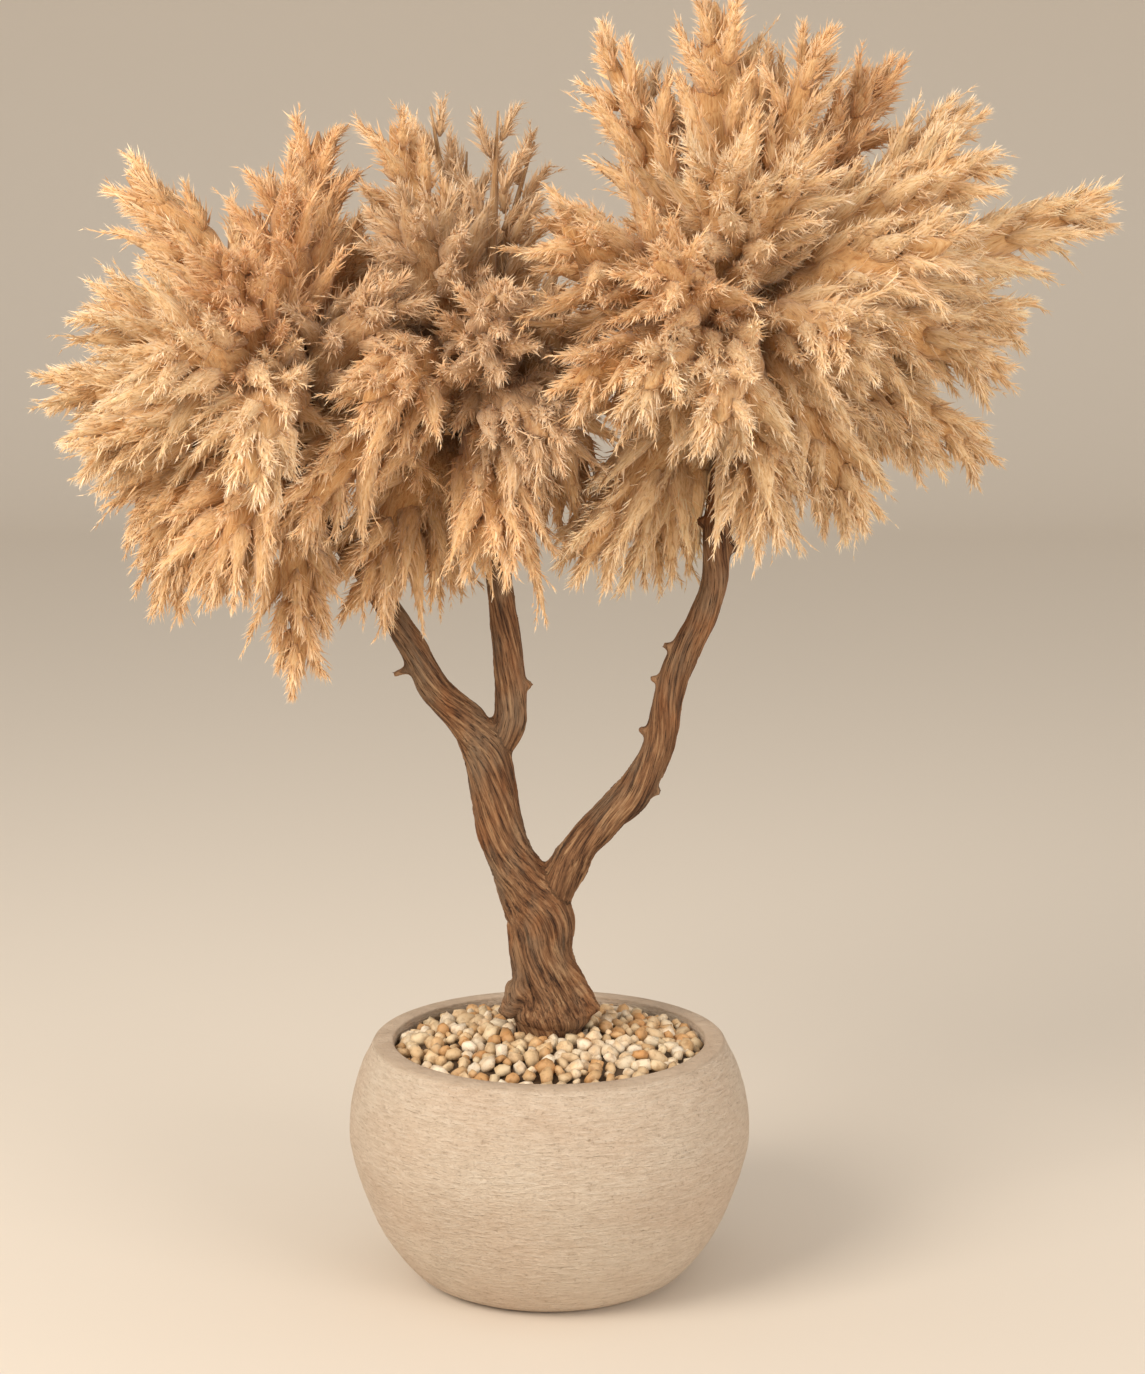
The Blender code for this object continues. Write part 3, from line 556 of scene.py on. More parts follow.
def feathers(root, way, length, bend, thick, profile, sides=3, uneven=None):
    """Many tapering spikes at once, each closed by a flat foot and a point.

    A spike's middle line runs along its way and bends off it with the square of its run.
    Round it stand rings of a polygon, at the shares of the length and of the thickness
    that the profile gives. Uneven holds a factor for each corner's distance from the middle.
    Returns corners, faces, and each corner's run and place round the spike, for the grain.
    """
    count, rings = len(root), len(profile)
    share, girth = np.array(profile).T
    side = unit(np.cross(way, OFF_AXIS))
    other = np.cross(way, side)
    around = np.linspace(0, math.tau, sides, endpoint=False)
    ring = np.cos(around)[:, None] * side[:, None] + np.sin(around)[:, None] * other[:, None]
    reach = length[:, None] * np.append(share, 1.0)
    middle = root[:, None] + way[:, None] * reach[..., None] + bend[:, None] * (reach ** 2)[..., None]
    wide = (thick[:, None] * girth / 2)[:, :, None]
    wide = wide * (np.ones((rings, sides)) if uneven is None else uneven)
    tube = middle[:, :-1, None] + ring[:, None] * wide[..., None]
    verts = np.concatenate([tube.reshape(count, -1, 3), middle[:, -1:]], 1)

    circle = np.stack([np.cos(around), np.sin(around)], -1)
    turn = np.broadcast_to(circle, (count, rings, sides, 2)) * wide[..., None]
    run = np.repeat(reach[:, :-1], sides, 1)[..., None]
    grain = np.concatenate([turn.reshape(count, -1, 2), run], 2)
    end = reach[:, -1]
    grain = np.concatenate([grain, np.stack([end * 0, end * 0, end], -1)[:, None]], 1)

    k = np.arange(sides)
    last = (rings - 1) * sides
    first = (np.arange(count) * verts.shape[1])[:, None, None]
    tip = np.stack([last + k, last + (k + 1) % sides, np.full(sides, rings * sides)], -1)
    faces = [(first + tip).reshape(-1, 3), (first + k[::-1]).reshape(-1, sides)]
    if rings > 1:
        faces.append((first + ring_faces(rings, sides)).reshape(-1, 4))
    return verts, faces, grain


def joined(parts):
    """Parts of (verts, faces, tones, grain) as one, with faces of one number of corners together."""
    verts, tones, grain = (np.vstack([part[k].reshape(-1, 3) for part in parts]) for k in (0, 2, 3))
    faces, start = {}, 0
    for part in parts:
        for group in part[1]:
            faces.setdefault(group.shape[1], []).append(group + start)
        start += part[0].size // 3
    return verts, [np.vstack(groups) for groups in faces.values()], tones, grain


def along_bend(root, way, bend, reach):
    """The places and tangents at given runs along bent spikes."""
    reach = reach[:, None]
    return root + way * reach + bend * reach ** 2, unit(way + 2 * bend * reach)


def coat(spikes, on, u, rng, tones, size, opening):
    """Hairs on the surface of bent spikes.

    Spikes holds root, way, run, bend, thickness and shade. On says which spike a hair stands
    on and u how far along. A hair leans outwards from the spike's way by an angle of the
    opening, in degrees, less so near the point, where it is also shorter. Its foot and its
    point are paler the farther along it stands, and by chance. The darker colour near the
    spike's root is painted shade for the inside of the plume.
    """
    root, way, run, bend, thick, shade = (values[on] for values in spikes)
    count = len(on)
    stations, girths = zip(*BODY_PROFILE, (1.0, 0.0))
    girth = thick * np.interp(u, stations, girths)
    middle, tangent = along_bend(root, way, bend, run * u)
    away = unit(np.cross(tangent, rng.normal(0, 1, (count, 3))))
    base = middle + away * (girth / 2 * HAIR_ROOT)[:, None]
    angle = np.radians(rng.uniform(*opening, count)) * (1 - END_CLOSES * u)
    lie = np.cos(angle)[:, None] * tangent + np.sin(angle)[:, None] * away
    lie = unit(lie + GRAVITY * HAIR_DROOP)
    length = rng.uniform(*size[:2], count) * MM * (1 - END_SHORTER * u)
    hair_thick = rng.uniform(*size[2:], count) * MM
    verts, faces, _ = feathers(base, lie, length, np.zeros((count, 3)), hair_thick, HAIR_PROFILE)
    # Painted shade: hairs near a tuft's root take more of the dark root colour.
    pale = np.clip(u * 0.5 + 0.5 * rng.random(count), 0, 1)[:, None]
    low = tones[0] * (0.45 - 0.45 * pale) + tones[1] * (0.55 + 0.45 * pale)
    high = tones[1] * (0.7 - 0.7 * pale) + tones[2] * (0.3 + 0.7 * pale)
    shade = shade * rng.uniform(*HAIR_SHADES, count)
    tone = np.stack([low, low, low, high], 1) * shade[:, None, None]
    return verts, faces, tone, np.broadcast_to(rng.uniform(0, GRAIN_ROOM, (count, 1, 3)), verts.shape)


def tufts_of(line, width, fullness, tones, rng):
    """The soft bodies of a plume's tufts, which overlap like shingles, and what a coat needs of them.

    From tuft to tuft the direction turns by the golden angle round the plume's line. A tuft
    starts inside the core and leans off the line by the spread, less so near the tip. Its run
    is the reach times the fluff's width there, over the sine of the spread, and it sags with
    the square of its run. Its tone goes from the root's colour to the middle one, a painted
    shade that is darkest where the tuft starts inside the plume.
    """
    span = np.linalg.norm(line[2] - line[0])
    count = int(round((TUFTS_LEAST + TUFTS_PER_METRE * span) * fullness))
    t = TUFT_START + TUFT_SPAN * (np.arange(count) + 0.5) / count
    here, along = arch(line, t), arch_way(line, t)
    inside = CORE_SHARE * width * fluff_width(t)
    side = unit(np.cross(along, OFF_LINE))
    turn = np.arange(count) * GOLDEN_ANGLE + rng.uniform(-TURN_VARIES, TURN_VARIES, count)
    out = np.cos(turn)[:, None] * side + np.sin(turn)[:, None] * np.cross(along, side)
    lean = TUFT_SPREAD * rng.uniform(*SPREAD_VARIES, count)[:, None] * (1 - TIP_CLOSES * t[:, None])
    way = unit(np.cos(lean) * along + np.sin(lean) * out + DROOP * GRAVITY)
    here = here + out * (TUFT_ROOT * inside)[:, None]
    run = FLUFF_REACH * width * fluff_width(t) / math.sin(TUFT_SPREAD)
    run = run * rng.uniform(*REACH_VARIES, count) + REACH_MORE
    shade = rng.uniform(*TUFT_SHADES, count) * rng.uniform(*PLUME_SHADES)
    bend = GRAVITY * rng.uniform(*SAG, count)[:, None] + rng.normal(0, SWAY, (count, 3))
    thick = np.clip(BODY_SHARE * run, *BODY_LIMITS) * rng.uniform(*BODY_VARIES, count)
    thick = thick * min(1.0, 0.4 + 0.6 * fullness)
    uneven = rng.uniform(*BODY_UNEVEN, (count, len(BODY_PROFILE), BODY_SIDES))
    verts, faces, grain = feathers(here, way, run, bend, thick, BODY_PROFILE, BODY_SIDES, uneven)
    share = np.append(np.repeat([u for u, _ in BODY_PROFILE], BODY_SIDES), 1.0)[None, :, None]
    # Painted shade: the body darkens towards its root, inside the plume.
    tone = (tones[0] * (0.55 - 0.55 * share) + tones[1] * (0.45 + 0.55 * share)) * shade[:, None, None]
    body = (verts, faces, tone, grain / MM + rng.uniform(0, GRAIN_ROOM, (count, 1, 3)))
    return (here, way, run, bend, thick, shade), body


def wisps_of(spikes, tones, rng):
    """Thin loose wisps that leave the tufts near their ends, on tangents turned a little outwards.

    A wisp is shortened by its tuft's run as a share of the run that carries full wisps.
    """
    here, way, run, bend, _, shade = spikes
    of = np.repeat(np.arange(len(here)), WISPS)
    count = len(of)
    root, tangent = along_bend(here[of], way[of], bend[of], run[of] * rng.uniform(*WISP_ROOTS, count))
    away = unit(np.cross(tangent, rng.normal(0, 1, (count, 3))))
    lie = unit(tangent + away * rng.uniform(*WISP_LEAN, count)[:, None])
    length = rng.uniform(*WISP_SIZE[:2], count) * MM
    length = length * np.clip(run[of] / WISP_FULL_RUN, WISP_SHORTEST, 1.0)
    sag = GRAVITY * rng.uniform(*WISP_SAG, count)[:, None] + rng.normal(0, WISP_SWAY, (count, 3))
    thick = rng.uniform(*WISP_SIZE[2:], count) * MM
    verts, faces, _ = feathers(root, lie, length, sag, thick, WISP_PROFILE)
    tone = np.stack([tones[1]] * 6 + [tones[2]])[None] * shade[of][:, None, None]
    grain = np.broadcast_to(rng.uniform(0, GRAIN_ROOM, (count, 1, 3)), verts.shape)
    return (root, lie, length, sag, thick, shade[of]), (verts, faces, tone, grain)


def core_of(line, width, fullness, tones, rng):
    """A plume's soft core: rings along its line, that start as thin as the stem.

    A ring's radius is a share of the fluff's width there, made uneven at each corner. The
    colour mixes the root's and the middle one's, darker than both, as the core lies in shade.
    """
    span = np.linalg.norm(line[2] - line[0])
    steps = np.linspace(0, 1, CORE_RINGS)
    spine = arch(line, steps)
    ring = circles_along(spine, CORE_SIDES)
    core = CORE_SHARE * width * fluff_width(steps) * min(1.0, fullness ** 2)
    girth = np.maximum(core, STEM_THICK / 2)
    girth = girth[:, None] * rng.uniform(*CORE_UNEVEN, (CORE_RINGS, CORE_SIDES))
    girth[0] = STEM_THICK / 2
    verts = spine[:, None] + ring * girth[..., None]
    tone = np.broadcast_to(tones[0] * CORE_TONES[0] + tones[1] * CORE_TONES[1], verts.shape)
    faces = [ring_faces(CORE_RINGS, CORE_SIDES), *end_faces(CORE_RINGS, CORE_SIDES)]
    run = np.broadcast_to((steps * span)[:, None, None], (CORE_RINGS, CORE_SIDES, 1))
    grain = np.concatenate([ring[..., :2] * girth[..., None], run], 2)
    return verts, faces, tone, grain / MM


def fluff_of(spec, line, rng):
    """One plume: its core and its tufts, with their locks, hairs, wisps and the wisps' down.

    A lock's or hair's place along the tuft is a start plus a random part of a stretch. For the
    hairs that part is raised to a power, which puts a few more of them near the tuft's end.
    """
    _, _, width, _, tint, fullness = spec
    tones = [linear(colour) for colour in TINTS_WITH_ROOT_SHADE[tint]]
    tufts, body = tufts_of(line, width, fullness, tones, rng)
    on = np.repeat(np.arange(len(tufts[0])), LOCKS)
    u = LOCK_PLACES[0] + LOCK_PLACES[1] * rng.random(len(on))
    locks = coat(tufts, on, u, rng, tones, LOCK_SIZE, LOCK_OPENING)
    on = np.repeat(np.arange(len(tufts[0])), HAIRS)
    u = HAIR_PLACES[0] + HAIR_PLACES[1] * rng.random(len(on)) ** HAIR_CROWDING
    hairs = coat(tufts, on, u, rng, tones, HAIR_SIZE, HAIR_OPENING)
    stalks, wisps = wisps_of(tufts, tones, rng)
    on = np.repeat(np.arange(len(stalks[0])), WISP_HAIRS)
    u = rng.uniform(*DOWN_PLACES, len(on))
    down = coat(stalks, on, u, rng, tones, DOWN_SIZE, DOWN_OPENING)
    return joined([body, locks, hairs, wisps, down, core_of(line, width, fullness, tones, rng)])


def make_plumes():
    """Each plume with what forks from it, as one piece in the place of its solid.

    Only the four-sided faces are smooth, so that hairs and locks keep their edges.
    """
    mat = fluff_material()
    lines = stem_lines()
    for number, name in enumerate(dict.fromkeys(spec[0] for spec in PLUMES)):
        rng = np.random.default_rng(SEED + number)
        shoots = [fluff_of(spec, line, rng) for spec, line in zip(PLUMES, lines) if spec[0] == name]
        verts, faces, tones, grain = joined(shoots)
        piece = mesh_object("fluff_" + name, verts, faces, mat, tones=np.clip(tones, 0, 1),
                            grain=grain, smooth="quads")
        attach(piece, "root")
        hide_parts("plume_" + name)


# Pot: outline points as (radius, height)
POT_OUTLINE = [(0.122, 0.000), (0.145, 0.014), (0.174, 0.052), (0.193, 0.095), (0.205, 0.135),
               (0.2075, 0.160), (0.2045, 0.190), (0.196, 0.220), (0.186, 0.241), (0.182, 0.2495)]
RIM_TOP = 0.252
RIM_OUTER = 0.179
RIM_INNER = 0.161
RIM_FADE = (0.2485, 0.2505)
LIP_DEPTH = 0.012
POT_WALL = 0.020
POT_WALL_HEIGHTS = (0.05, 0.225)
POT_FLOOR = 0.018
FOOT_INSET = 0.010
POT_STEPS = 8
POT_SIDES = 160
BRUSH_CELLS = np.array([40, 40, 150])
BRUSH_DEPTH = 0.003
BRUSHED = (0.004, 0.246)


def smooth_route(points, per_step):
    """A cubic curve through all the points, with a number of steps between each pair.

    At a point it heads along the line between the point before and the one after.
    """
    points = np.asarray(points, float)
    padded = np.vstack([2 * points[0] - points[1], points, 2 * points[-1] - points[-2]])
    out = []
    u = np.linspace(0, 1, per_step, endpoint=False)[:, None]
    for a, b, c, d in zip(padded, padded[1:], padded[2:], padded[3:]):
        out.append(0.5 * (2 * b + (c - a) * u + (2 * a - 5 * b + 4 * c - d) * u ** 2
                          + (3 * b - a - 3 * c + d) * u ** 3))
    return np.vstack(out + [points[-1:]])


def turned(outline, sides):
    """An outline of radii and heights, turned round the z axis: a grid of rings by sides."""
    a = np.linspace(0, math.tau, sides, endpoint=False)
    return np.stack([outline[:, :1] * np.cos(a), outline[:, :1] * np.sin(a),
                     np.repeat(outline[:, 1:], sides, 1)], -1)


def make_pot():
    """The pot, turned from its smoothed outline: up the outside, over the rim and down the inside.

    The outside's radius is scaled by one less a small noise, for the uneven hand-brushed wall.
    """
    outside = smooth_route(POT_OUTLINE, POT_STEPS)
    rim = [(RIM_OUTER + 0.001, 0.2515), (RIM_OUTER, RIM_TOP), (RIM_INNER + 0.002, RIM_TOP),
           (RIM_INNER + 0.0005, RIM_TOP - 0.0005), (RIM_INNER, RIM_TOP - 0.002),
           (RIM_INNER, RIM_TOP - LIP_DEPTH)]
    low, high = POT_WALL_HEIGHTS
    inside = [(r - POT_WALL, z) for r, z in POT_OUTLINE if low < z < high][::-1]
    inside += [(POT_OUTLINE[1][0] - FOOT_INSET, POT_FLOOR + 0.006),
               (POT_OUTLINE[0][0] - FOOT_INSET, POT_FLOOR)]
    outline = np.vstack([outside, rim, inside])
    verts = turned(outline, POT_SIDES)
    wave = value_noise(verts * BRUSH_CELLS, 5) - 0.5
    height = outline[:, 1]
    brushed = (height > BRUSHED[0]) & (height < BRUSHED[1]) & (np.arange(len(outline)) < len(outside))
    swell = 1 - (wave * brushed[:, None]) * BRUSH_DEPTH
    verts[..., :2] *= swell[..., None]
    faces = [ring_faces(len(outline), POT_SIDES), *end_faces(len(outline), POT_SIDES)]
    pot = mesh_object("stoneware_pot", verts.reshape(-1, 3), faces, stoneware_material())
    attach(pot, "root")
    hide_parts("pot")


GRAVEL_EDGE = RIM_TOP - LIP_DEPTH
GRAVEL_MOUND = 0.022
FOOT_RADIUS = 0.034
FILL_TOP = 0.222
# Half sizes of the pebbles, the greatest first, and how many places are tried for each
PEBBLE_SIZES = ((0.0085, 900), (0.0068, 5000), (0.0052, 9000))
PEBBLE_PACKING = 0.86
PEBBLE_ROUNDNESS = 3.0
PEBBLE_UNEVEN = (0.84, 1.14)
PEBBLE_AXES = ((0.85, 1.35), (0.7, 1.0), (0.55, 0.85))
PEBBLE_VARIES = (0.85, 1.15)
PEBBLE_LIFT = 0.003
PEBBLE_SUNK = 0.001
PEBBLE_SHADES = (0.85, 1.05)
PEBBLE_STAIN = np.array([0.08, 0.26, 0.46])
STAIN_CELLS = 130
PEBBLE_TONES = ["#EAD9BC", "#E0C8A2", "#F0E2CA", "#D9BC92", "#EBDABD", "#D4AF80", "#E3CDA8", "#DCC19A",
                "#ECDDC4", "#CDA06C"]
# Painted shade: the dark bed shows only in the gaps between the pebbles.
BED_SHADE_TONE = "#4E3C2A"
BED_SIDES = 96
BED_RINGS = 26
BED_DROP = 0.004
BED_ROUGH = 0.003
BED_CELLS = 160
BED_BOTTOM = FILL_TOP + 0.0005


def mound(radius):
    """The gravel's height: the edge, plus the mound times one less the square of the radius's share."""
    return GRAVEL_EDGE + GRAVEL_MOUND * (1 - (radius / RIM_INNER) ** 2)


def pebble_places(rng):
    """Places and half sizes, the greatest first, random over the area of the ring of gravel.

    A place is kept where it is clear of the ones before it and of the pot.
    """
    places, sizes = [], []
    for size, tries in PEBBLE_SIZES:
        for _ in range(tries):
            r = math.sqrt(rng.uniform((FOOT_RADIUS + 0.003) ** 2, (RIM_INNER - 0.006) ** 2))
            a = rng.uniform(0, math.tau)
            place = np.array([r * math.cos(a), r * math.sin(a)])
            half = size * rng.uniform(*PEBBLE_VARIES)
            if places:
                apart = np.linalg.norm(np.array(places) - place, axis=1)
                if (apart < (np.array(sizes) + half) * PEBBLE_PACKING).any():
                    continue
            if r + half * 0.8 > RIM_INNER - 0.0005:
                continue
            places.append(place)
            sizes.append(half)
    return np.array(places), np.array(sizes)


def pebble_block():
    """A rounded cube of 24 quads: corners lie where the sum of cubed coordinates is one."""
    bm = bmesh.new()
    bmesh.ops.create_cube(bm, size=2.0)
    bmesh.ops.subdivide_edges(bm, edges=bm.edges[:], cuts=1, use_grid_fill=True)
    block = np.array([v.co for v in bm.verts])
    block /= (np.abs(block) ** PEBBLE_ROUNDNESS).sum(1, keepdims=True) ** (1 / PEBBLE_ROUNDNESS)
    quads = np.array([[v.index for v in f.verts] for f in bm.faces])
    bm.free()
    return block, quads


def gravel_bed():
    """The bed under the pebbles: an uneven ring from the wood to the pot, closed below.

    Its dark colour is painted shade for the gaps between the pebbles.
    """
    radii = np.linspace(FOOT_RADIUS + 0.0015, RIM_INNER - 0.0008, BED_RINGS)
    outline = np.vstack([[[radii[0], BED_BOTTOM]], np.column_stack([radii, mound(radii) - BED_DROP]),
                         [[radii[-1], BED_BOTTOM]]])
    bed = turned(outline, BED_SIDES)
    bed[1:-1, :, 2] += BED_ROUGH * (value_noise(bed[1:-1] * BED_CELLS, 4) - 0.5)
    last = (len(outline) - 1) * BED_SIDES
    k = np.arange(BED_SIDES)
    under = np.stack([last + k, last + (k + 1) % BED_SIDES, (k + 1) % BED_SIDES, k], -1)
    return bed.reshape(-1, 3), [ring_faces(len(outline), BED_SIDES)[:, ::-1], under[:, ::-1]]


def make_gravel():
    """Blocky pebbles that lie on the mound, each with its own turn, proportions, dents and stain.

    A stain is a noise that takes away part of the colour, least of the red and most of the blue.
    """
    rng = np.random.default_rng(SEED)
    places, sizes = pebble_places(rng)
    count = len(places)
    block, quads = pebble_block()
    axes = np.linalg.qr(rng.normal(0, 1, (count, 3, 3)))[0]
    axes *= np.sign(np.linalg.det(axes))[:, None, None]
    scale = np.stack([rng.uniform(*axis, count) for axis in PEBBLE_AXES], 1) * sizes[:, None]
    shape = block[None] * rng.uniform(*PEBBLE_UNEVEN, (count, len(block), 1))
    lying = np.einsum("nij,nkj->nki", axes, shape * scale[:, None])
    lift = rng.uniform(-PEBBLE_LIFT, PEBBLE_LIFT, count)
    height = mound(np.linalg.norm(places, axis=1)) + lift - PEBBLE_SUNK
    verts = lying + np.column_stack([places, height])[:, None]
    faces = (quads[None] + np.arange(count)[:, None, None] * len(block)).reshape(-1, 4)
    palette = np.array([linear(colour) for colour in PEBBLE_TONES])
    tones = palette[rng.integers(0, len(palette), count)] * rng.uniform(*PEBBLE_SHADES, (count, 1))
    stain = value_noise(verts * STAIN_CELLS, 7)[..., None]
    tones = tones[:, None] * (1 - PEBBLE_STAIN * np.clip(stain * 2 - 0.9, 0, 1))
    verts = verts.reshape(-1, 3)

    bed, bed_faces = gravel_bed()
    tones = np.vstack([tones.reshape(-1, 3), np.tile(linear(BED_SHADE_TONE), (len(bed), 1))])
    gravel = mesh_object("gravel_pebbles", np.vstack([verts, bed]),
                         [faces] + [group + len(verts) for group in bed_faces],
                         pebble_material(), tones=np.clip(tones, 0, 1))
    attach(gravel, "root")
    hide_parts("gravel")


# Wood: route points as (x, y, z, radius)
FOOT_BOTTOM = 0.100
FOOT_TOP = 0.262
LEFT_BRANCH = [
    (0.002, 0.000, 0.277, 0.042), (0.001, 0.000, 0.300, 0.036), (-0.008, 0.000, 0.344, 0.032),
    (-0.008, 0.000, 0.383, 0.034), (-0.026, 0.000, 0.419, 0.028), (-0.046, 0.000, 0.461, 0.0235),
    (-0.056, 0.000, 0.515, 0.024), (-0.064, 0.000, 0.554, 0.0245), (-0.085, -0.003, 0.585, 0.0195),
    (-0.115, -0.006, 0.618, 0.016), (-0.143, -0.010, 0.672, 0.014), (-0.162, -0.012, 0.704, 0.013),
    (-0.177, -0.014, 0.729, 0.012), (-0.197, -0.016, 0.755, 0.011), (-0.222, -0.018, 0.795, 0.010)]
RIGHT_BRANCH = [
    (-0.004, 0.000, 0.385, 0.020), (0.011, 0.000, 0.419, 0.0225), (0.032, 0.000, 0.454, 0.019),
    (0.059, 0.000, 0.484, 0.018), (0.088, 0.000, 0.513, 0.019), (0.112, 0.000, 0.561, 0.017),
    (0.122, 0.000, 0.615, 0.016), (0.135, 0.000, 0.653, 0.016), (0.155, 0.000, 0.691, 0.015),
    (0.167, 0.000, 0.728, 0.014), (0.168, 0.000, 0.766, 0.0145), (0.172, 0.000, 0.810, 0.013),
    (0.176, 0.000, 0.851, 0.012)]
MIDDLE_BRANCH = [
    (-0.062, 0.000, 0.545, 0.017), (-0.045, 0.004, 0.575, 0.0175), (-0.039, 0.008, 0.599, 0.0165),
    (-0.042, 0.013, 0.653, 0.015), (-0.049, 0.018, 0.710, 0.014), (-0.054, 0.023, 0.766, 0.013),
    (-0.059, 0.027, 0.810, 0.012)]
# Snags and roots: from a point inside the wood to the tip, with the radius at each end
SNAGS = [((-0.128, -0.008, 0.645), (-0.158, -0.012, 0.634), 0.007, 0.004),
         ((0.137, 0.000, 0.655), (0.115, -0.006, 0.665), 0.008, 0.004),
         ((0.124, 0.000, 0.622), (0.102, -0.006, 0.631), 0.008, 0.004),
         ((0.114, 0.000, 0.566), (0.091, -0.004, 0.578), 0.008, 0.004),
         ((0.092, 0.000, 0.517), (0.115, -0.004, 0.511), 0.009, 0.005),
         ((0.168, 0.000, 0.757), (0.191, -0.002, 0.764), 0.007, 0.005),
         ((0.170, 0.000, 0.782), (0.148, -0.004, 0.791), 0.007, 0.004),
         ((-0.040, 0.009, 0.612), (-0.018, 0.004, 0.623), 0.008, 0.005),
         ((-0.006, -0.006, 0.298), (-0.043, -0.016, 0.309), 0.010, 0.006),
         ((-0.014, -0.010, 0.330), (-0.046, -0.022, 0.281), 0.013, 0.008),
         ((0.012, -0.008, 0.334), (0.046, -0.016, 0.282), 0.014, 0.009),
         ((0.004, 0.010, 0.330), (0.010, 0.047, 0.281), 0.013, 0.008)]
TENON_RADIUS = 0.009
TENON_DEPTH = 0.020
NECK = 0.004
ROUTE_STEPS = 10
SNAG_STEPS = 5
WOOD_SIDES = 28
WOOD_VOXEL = 0.0027
RELAX_ROUNDS = 6
# Bark: cells of its noises for a branch of the usual radius, and their depths in millimetres
USUAL_RADIUS = 0.02
BARK_TWIST = 9.0
BARK_RUN = 2.0
BRANCH_SHIFT = 0.7
BROAD_CELLS = np.array([2.2, 2.2, 7.0])
STRAND_CELLS = np.array([6.0, 6.0, 12.0])
KNOT_CELLS = 45
BROAD_DEPTH = 4.4
STRAND_DEPTH = 2.6
KNOT_DEPTH = 2.0
BARK_GIRTHS = (0.5, 1.3)
FORK_BLEND = 0.0035
# The foot stays smooth below this height, and the bark rises over this much more
SMOOTH_FOOT = 0.266
BARK_RISE = 0.012


def branch_route(branch, holder, foot=False):
    """A branch's smoothed route and radii, from its start to its end inside the foam ball."""
    centre, radius = HOLDERS[holder]
    centre = np.array(centre)
    way = unit(centre - np.array(branch[-1][:3]))
    neck, end = centre - way * (radius + NECK), centre - way * (radius - TENON_DEPTH)
    route = smooth_route(list(branch) + [(*neck, TENON_RADIUS), (*end, TENON_RADIUS)], ROUTE_STEPS)
    if foot:
        thick = FOOT_RADIUS - 0.001
        route = np.vstack([[(0, 0, FOOT_BOTTOM + 0.001, thick), (0, 0, FOOT_TOP, thick)], route])
    return route


def bark_field(points, route, offset):
    """One branch's bark at each point: distance from its surface, relief in millimetres, girth and grain.

    The grain is the place round the branch, which twists with the run, times the girth, and
    the run. The relief adds a broad noise of the grain, a narrow one that its distance from
    the middle value sharpens into ridges, and knots.
    """
    _, first, second = frames_along(route[:, :3])
    lengths = np.linalg.norm(np.diff(route[:, :3], axis=0), axis=1)
    along = np.concatenate([[0], np.cumsum(lengths)]) + offset
    near = np.concatenate([np.linalg.norm(some[:, None] - route[None, :, :3], axis=2).argmin(1)
                           for some in np.array_split(points, 20)])
    away = points - route[near, :3]
    far = np.linalg.norm(away, axis=1) - route[near, 3]
    angle = np.arctan2((away * second[near]).sum(1), (away * first[near]).sum(1))
    run = along[near] + (away * unit(np.cross(first[near], second[near]))).sum(1)
    angle = angle + BARK_TWIST * run
    girth = route[near, 3] / USUAL_RADIUS
    grain = np.column_stack([np.cos(angle) * girth, np.sin(angle) * girth, run * BARK_RUN])
    broad = value_noise(grain * BROAD_CELLS + 11, 1)
    strands = value_noise(grain * STRAND_CELLS + 31, 2)
    knots = value_noise(points * KNOT_CELLS, 3)
    relief = (broad - 0.5) * BROAD_DEPTH + (np.abs(strands - 0.5) * 2 - 0.5) * STRAND_DEPTH
    relief = relief + (knots - 0.5) * KNOT_DEPTH
    return far, relief, girth, grain


def fused_wood(routes):
    """The routes' tubes, fused by a voxel remesh into one closed skin, and relaxed.

    A tube is a circle of the route's radius, carried along the route at right angles to it.
    """
    verts, faces, caps = [], [], []
    start = 0
    for route in routes:
        ring = circles_along(route[:, :3], WOOD_SIDES)
        tube = (route[:, None, :3] + ring * route[:, 3][:, None, None]).reshape(-1, 3)
        verts.append(tube)
        faces.append(ring_faces(len(route), WOOD_SIDES, start))
        caps += end_faces(len(route), WOOD_SIDES, start)
        start += len(tube)
    rough = mesh_object("rough_wood", np.vstack(verts), faces + caps, bark_material())
    skin = rough.modifiers.new("skin", "REMESH")
    skin.mode = "VOXEL"
    skin.voxel_size = WOOD_VOXEL
    relax = rough.modifiers.new("relax", "SMOOTH")
    relax.iterations = RELAX_ROUNDS
    relax.factor = 0.5
    seen = rough.evaluated_get(bpy.context.evaluated_depsgraph_get())
    mesh = bpy.data.meshes.new_from_object(seen)
    bpy.data.objects.remove(rough, do_unlink=True)
    return mesh


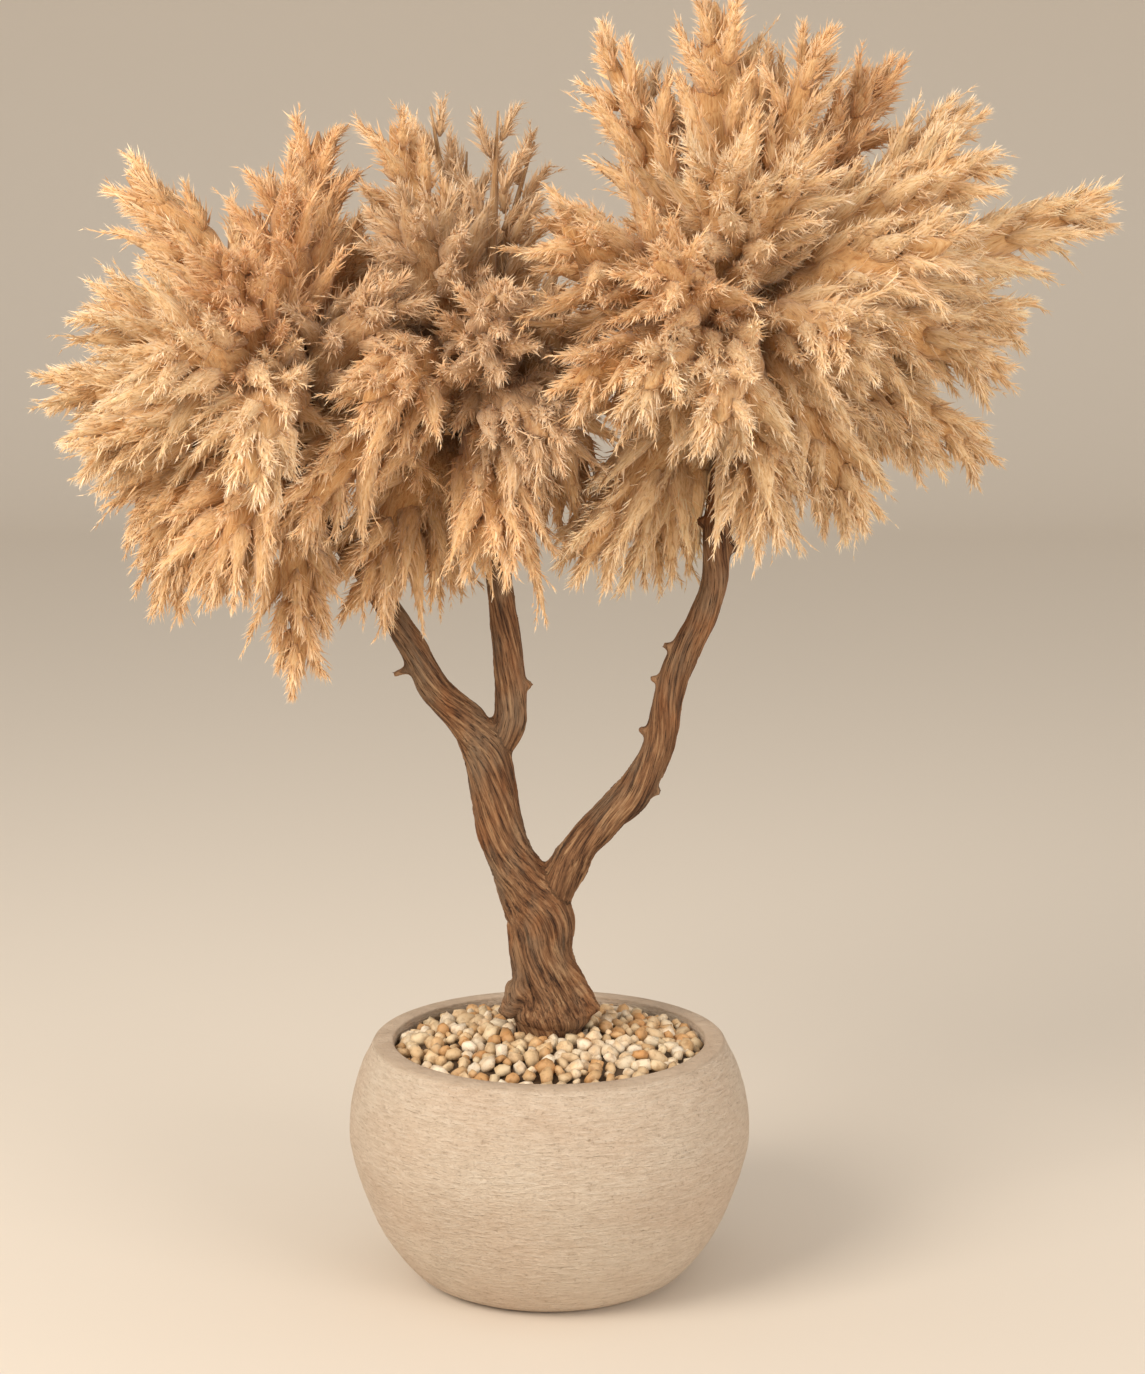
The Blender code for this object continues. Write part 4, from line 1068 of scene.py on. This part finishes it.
def make_trunk():
    """The wood, fused into one skin, then raised and grooved along its grain.

    Each branch has its own field of grooves. A point takes them by weights that fall off
    exponentially with how much farther it is from a branch than from the nearest one.
    """
    routes = [branch_route(LEFT_BRANCH, "L", True), branch_route(MIDDLE_BRANCH, "M"),
              branch_route(RIGHT_BRANCH, "R")]
    branches = len(routes)
    for start, end, thick, thin in SNAGS:
        a, b = np.array((*start, thick)), np.array((*end, thin))
        routes.append(a + (b - a) * np.linspace(0, 1, SNAG_STEPS)[:, None])
    mesh = fused_wood(routes)

    points, normals = np.empty(len(mesh.vertices) * 3), np.empty(len(mesh.vertices) * 3)
    mesh.vertices.foreach_get("co", points)
    mesh.vertices.foreach_get("normal", normals)
    points, normals = points.reshape(-1, 3), normals.reshape(-1, 3)
    fields = [bark_field(points, route, BRANCH_SHIFT * (number + 1))
              for number, route in enumerate(routes[:branches])]
    far, reliefs, girths, grains = (np.stack(values) for values in zip(*fields))
    share = np.exp((far.min(0) - far) / FORK_BLEND)
    relief = (share * reliefs).sum(0) / share.sum(0)
    girth = (share * girths).sum(0) / share.sum(0)
    grain = grains[far.argmin(0), np.arange(len(points))]
    hold = np.clip((points[:, 2] - SMOOTH_FOOT) / BARK_RISE, 0, 1)
    points = points + normals * (relief * MM * np.clip(girth, *BARK_GIRTHS) * hold)[:, None]
    mesh.vertices.foreach_set("co", points.ravel())
    set_attribute(mesh, "grain", "FLOAT_VECTOR", "vector", grain)
    mesh.update()
    mesh.shade_smooth()
    trunk = bpy.data.objects.new("barked_trunk", mesh)
    bpy.context.scene.collection.objects.link(trunk)
    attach(trunk, "root")
    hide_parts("trunk")


def dress_frame_nodes():
    """Materials for the solids that stay: the filling and the foam balls."""
    looks = {"fill": crumbly_material("plaster_filling", "#6B6053", "#9A8D7C", 90),
             "foam": crumbly_material("dry_foam", "#4A3824", "#7A603F", 140)}
    for name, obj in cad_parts.items():
        kind = name.split("_")[0]
        if kind in looks:
            obj.data.materials.clear()
            obj.data.materials.append(looks[kind])


# Stage: a floor that starts to curve up 6.4 m behind the plant. Lights are
# name, place, size, power in watts and colour.
FLOOR_TONE = "#DED4C7"
FLOOR_FRONT = -9.0
FLOOR_HALF = 9.0
WALL_START = 6.4
WALL_CURVE = 1.8
WALL_TOP = 10.0
LIGHTS = [("key", (-2.4, -2.3, 2.6), 2.0, 134, "#FFF5E8"),
          ("fill", (2.6, -2.8, 1.35), 2.0, 68, "#FFF7EF"),
          ("top", (0.2, 0.6, 3.4), 2.4, 12, "#FFFAF2")]
LIGHTS_AIM = (0.0, 0.0, 0.75)
SKY_TONE = "#F6F1EA"
SKY_STRENGTH = 0.70


def make_floor():
    """A pale matt floor that bends up in a quarter circle to a plain backdrop."""
    mat, _, shader = new_material("pale_floor", 0.9)
    shader.inputs["Base Color"].default_value = rgba(FLOOR_TONE)
    shader.inputs["Specular IOR Level"].default_value = 0.1
    bend = [(y, 0.0) for y in (FLOOR_FRONT, -3.0, 0.0, WALL_START)]
    bend += [(WALL_START + WALL_CURVE * math.sin(a), WALL_CURVE * (1 - math.cos(a)))
             for a in np.linspace(0.1, math.pi / 2, 14)]
    bend += [(WALL_START + WALL_CURVE, WALL_TOP / 2), (WALL_START + WALL_CURVE, WALL_TOP)]
    verts = np.array([(x, y, z) for y, z in bend for x in (-FLOOR_HALF, FLOOR_HALF)])
    i = np.arange(len(bend) - 1)[:, None] * 2
    floor = mesh_object("floor", verts, [i + np.array([0, 1, 3, 2])], mat)


def make_lights():
    """Soft square lights that face the plant, and an even pale sky."""
    for name, place, size, power, colour in LIGHTS:
        light = bpy.data.lights.new(name, "AREA")
        light.size = size
        light.energy = power
        light.color = linear(colour)
        obj = bpy.data.objects.new(name, light)
        obj.location = place
        aim = np.array(LIGHTS_AIM) - np.array(place)
        tilt = math.atan2(math.hypot(aim[0], aim[1]), -aim[2])
        obj.rotation_euler = (tilt, 0, math.atan2(-aim[0], aim[1]))
        bpy.context.scene.collection.objects.link(obj)

    world = bpy.data.worlds.new("studio")
    world.use_nodes = True
    sky = world.node_tree.nodes["Background"]
    sky.inputs["Color"].default_value = rgba(SKY_TONE)
    sky.inputs["Strength"].default_value = SKY_STRENGTH
    bpy.context.scene.world = world
    bpy.context.scene.view_settings.view_transform = "Standard"


def make_camera():
    """The camera before the pot, level but for its tilt downwards."""
    lens = bpy.data.cameras.new("camera")
    lens.lens = CAMERA_LENS
    lens.sensor_width = CAMERA_SENSOR
    lens.clip_end = CAMERA_REACH
    camera = bpy.data.objects.new("camera", lens)
    camera.location = CAMERA_PLACE
    camera.rotation_euler = (math.pi / 2 - CAMERA_DOWN, 0, 0)
    bpy.context.scene.collection.objects.link(camera)
    bpy.context.scene.camera = camera


make_floor()
make_lights()
make_camera()
make_pot()
make_gravel()
make_trunk()
dress_frame_nodes()
make_plumes()
